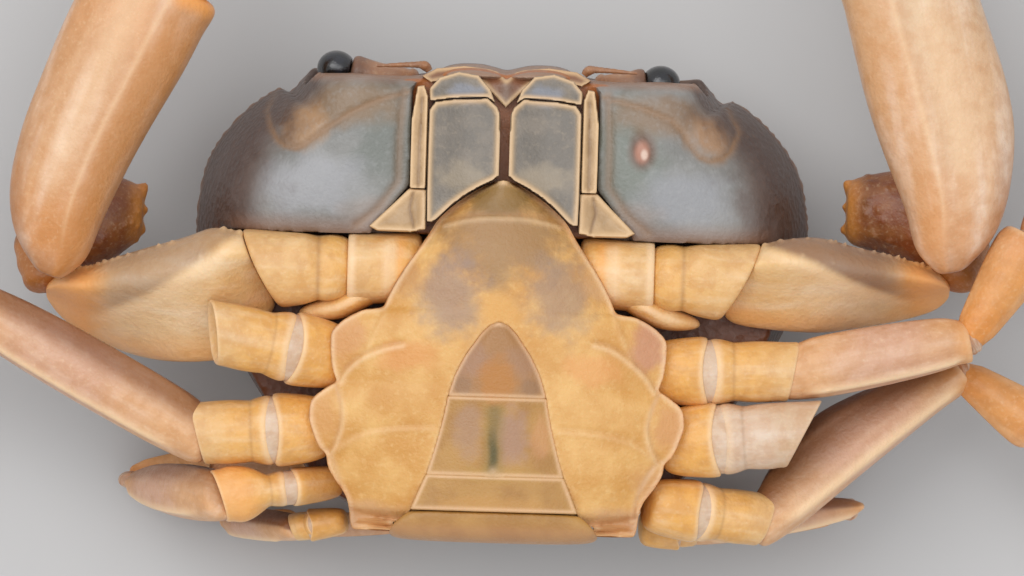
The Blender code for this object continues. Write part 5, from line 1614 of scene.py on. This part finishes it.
def make_wrist(name, side):
    """The knobbly wrist of a claw with its blunt teeth, dark brown partly from painted shade, and the skins
    on both sides of it.
    """
    shift = WRIST_SHIFT_Y[name]
    rows = [(x, y + shift, z, width, height)
            for x, y, z, width, height in CLAW_WRIST_ROWS + CLAW_WRIST_MARGIN[name]]
    wrist = arm_draw(f"claw_{name}_wrist", oval(16), smooth_rows(rows, 3), side)
    for root_x, root_y, tip_x, tip_y, width in WRIST_TEETH[name]:
        root = Vector((root_x, side * root_y, 7.5))
        along = Vector((tip_x, side * tip_y, 7.7)) - root
        stations = straight([(share * along.length, part * width, part * width)
                             for share, part in ((0.0, 1.0), (0.45, 0.72), (0.8, 0.4), (1.0, 0.12))])
        tooth = draw_out("wrist_tooth", oval(12, 1.0), stations)
        subdivide(tooth)
        place(tooth, root, along)
        combine(wrist, [tooth], "UNION")
    even_faces(wrist, WRIST_VOXEL, 3)
    rng = np.random.default_rng(11 + side)
    co = points_of(wrist)[0]
    picks = rng.choice(len(co), WRIST_KNOBS, replace=False)
    bumps(wrist, co[picks], [0.24] * WRIST_KNOBS, [0.12] * WRIST_KNOBS)
    note_lay(wrist, WRIST_REACH)
    co = points_of(wrist)[0]
    inner = rows[-1][0]
    add_mark(wrist, "share", (co[:, 0] - inner) / 4.0)
    add_mark(wrist, "warm", 0.5 * smooth_step(inner + 1.3, inner + 0.1, co[:, 0]))
    shade_lower(wrist)
    finish_arm(wrist, side, "wrist", f"claw_carpus_{name}")
    # Both skins take the wrist's dark finish, painted shade in the gaps beside the wrist.
    elbow = Vector((side * 27.2, 0.4 + shift, 10.4))
    joint_skin(f"claw_{name}_elbow", (elbow + Vector((side * 29.0, 3.7 + shift, 7.6))) * 0.5,
               (side * 1.2, 3.9, -2.8), 4.2, 2.8, f"claw_carpus_{name}", 4.8, "claw", "wrist")
    joint_skin(f"claw_{name}_hand_joint", (side * 27.9, 4.0 + shift, 10.4), (-side * 0.2, -0.6, 3.0),
               3.0, 3.0, f"claw_palm_{name}", 3.4, "claw", "wrist")


def draw_hand_piece(name, section, rows, side, teeth, length):
    """Draw the palm or the finger through rows (along, outwards, width, height), and raise its teeth."""
    stations = [(along, -side * outward, 0.0, width, height) for along, outward, width, height in rows]
    piece = draw_out(name, section, stations)
    subdivide(piece)
    bumps(piece, *teeth)
    note_lay(piece, length)
    co, facing = points_of(piece)
    add_mark(piece, "rim", 0.35 * smooth_step(28.0, 31.0, co[:, 0]))
    return piece, co, smooth_step(0.0, -0.7, facing[:, 2])


def finish_hand_piece(piece, name, side, node):
    """Set the palm or the finger at the wrist, leaning inwards, and finish it."""
    x, y = PALM_BASE[name]
    lean = math.radians(PALM_LEAN[name])
    place(piece, (side * x, y, PALM_Z), (-side * math.sin(lean), math.cos(lean), 0.0))
    finish(piece, "claw" if name == "left" else "pale_claw", "claw", node)


def tooth_places(rows, outward, side, first, last, seed):
    """Teeth along a finger's cutting edge, uneven as the real ones are."""
    rng = np.random.default_rng(seed)
    places, sizes = [], []
    for k in range(FINGER_TEETH):
        along = first + (last - first) * (k + 0.5) / FINGER_TEETH + rng.uniform(-0.08, 0.08)
        edge = along_rows(along, rows) + outward * 0.5 * along_rows(along, rows, 2)
        places.append((along, -side * edge, 0.0))
        sizes.append((0.62 if k % 3 == 1 else 0.42) * (1.0 - 0.5 * k / FINGER_TEETH))
    return places, sizes, [size * 0.9 for size in sizes]


# Points round the hand as shares of its width and height, first over the face that is seen from below.
HAND_SECTION = [
    (0.5, 0), (0.47, 0.24), (0.33, 0.42), (0.19, 0.52), (0.05, 0.47), (-0.14, 0.44), (-0.33, 0.37),
    (-0.46, 0.2), (-0.5, 0), (-0.46, -0.26), (-0.34, -0.42), (-0.14, -0.5), (0.06, -0.5), (0.28, -0.45),
    (0.43, -0.3), (0.49, -0.12)]


def make_hand(name, side):
    """The palm with its fixed finger, and the movable finger hinged on its inner corner."""
    rows = [(along, bow, width, height) for (along, bow, height), width in zip(PALM_ROWS, PALM_WIDTHS[name])]
    rows = smooth_rows(rows + FINGER_ROWS, 3)
    along, bow, width, height = rows[0]
    section = [(side * across, rise) for across, rise in HAND_SECTION]
    hand, co, under = draw_hand_piece(
        f"claw_{name}_palm", section, [(along - 0.1, bow, width * 0.6, height * 0.6)] + rows, side,
        tooth_places(FINGER_ROWS, -1.0, side, 21.0, 30.6, 21), PALM_LENGTH)
    share = co[:, 0] / PALM_LENGTH
    across = (side * co[:, 1] + along_rows(co[:, 0], rows)) / (0.5 * along_rows(co[:, 0], rows, 2))
    add_mark(hand, "warm", 0.9 * bell(co[:, 0], 18.8, 0.9) * smooth_step(0.5, 2.2, side * co[:, 1]))
    add_mark(hand, "shade", 0.45 * smooth_step(0.1, -0.02, share) + 0.7 * under)
    # A pale band along the palm's ridge: partly its own pale streak and partly a painted highlight.
    add_mark(hand, "rim", 0.4 * bell(across, -0.15, 0.28) * smooth_step(0.12, 0.4, share))
    for line, strength in ((0.3, 0.4), (-0.52, 0.3), (-0.34, 0.2)):
        add_mark(hand, "rim", strength * bell(across, line, 0.05) * smooth_step(0.05, 0.25, share))
    add_mark(hand, "shade", (0.4 if name == "left" else 0.15) * smooth_step(0.12, 0.5, across))
    add_mark(hand, "warm", 0.25 * smooth_step(0.12, 0.5, across))
    # Painted shade on the outer face near the palm's lower end.
    add_mark(hand, "shade", 0.4 * smooth_step(-0.5, -0.85, across) * smooth_step(0.55, 0.1, share))
    finish_hand_piece(hand, name, side, f"claw_palm_{name}")
    thumb, co, under = draw_hand_piece(
        f"claw_{name}_finger", oval(16, 0.9), smooth_rows(THUMB_ROWS, 3), side,
        tooth_places(THUMB_ROWS, 1.0, side, 21.4, 31.0, 22), THUMB_LENGTH)
    add_mark(thumb, "warm", 0.7 * smooth_step(21.4, 19.6, co[:, 0]))
    add_mark(thumb, "shade", 0.7 * under)
    finish_hand_piece(thumb, name, side, f"claw_dactylus_{name}")


for claw_name, claw_side in SIDES:
    make_claw_base(claw_name, claw_side)
    make_arm(claw_name, claw_side)
    make_wrist(claw_name, claw_side)
    make_hand(claw_name, claw_side)

# Stage

FLOOR_SIZE = 6.0
SURROUND = (0.92, 0.92, 0.93, 1.0)
SURROUND_STRENGTH = 0.78
# (name, place, size, power) in metres and watts.
LIGHTS = (("key", (-0.26, 0.24, 0.64), 0.45, 1.75), ("fill", (0.18, 0.04, 0.72), 0.5, 1.1))


def set_stage():
    """A wide pale floor, soft light from above on all sides, and a pale surround."""
    alone()
    bpy.ops.mesh.primitive_plane_add(size=FLOOR_SIZE, location=(0.0, 0.0, 0.0))
    floor = bpy.context.object
    floor.name = "studio_floor"
    floor.data.materials.append(floor_finish())
    world = bpy.data.worlds.new("studio")
    world.use_nodes = True
    surround = world.node_tree.nodes["Background"].inputs
    surround["Color"].default_value = SURROUND
    surround["Strength"].default_value = SURROUND_STRENGTH
    bpy.context.scene.world = world
    for name, where, size, power in LIGHTS:
        data = bpy.data.lights.new(name, "AREA")
        data.size = size
        data.energy = power
        light = bpy.data.objects.new(name, data)
        bpy.context.scene.collection.objects.link(light)
        light.location = where
        light.rotation_euler = (-Vector(where)).to_track_quat("-Z", "Y").to_euler()
    bpy.context.scene.view_settings.view_transform = "Standard"


set_stage()
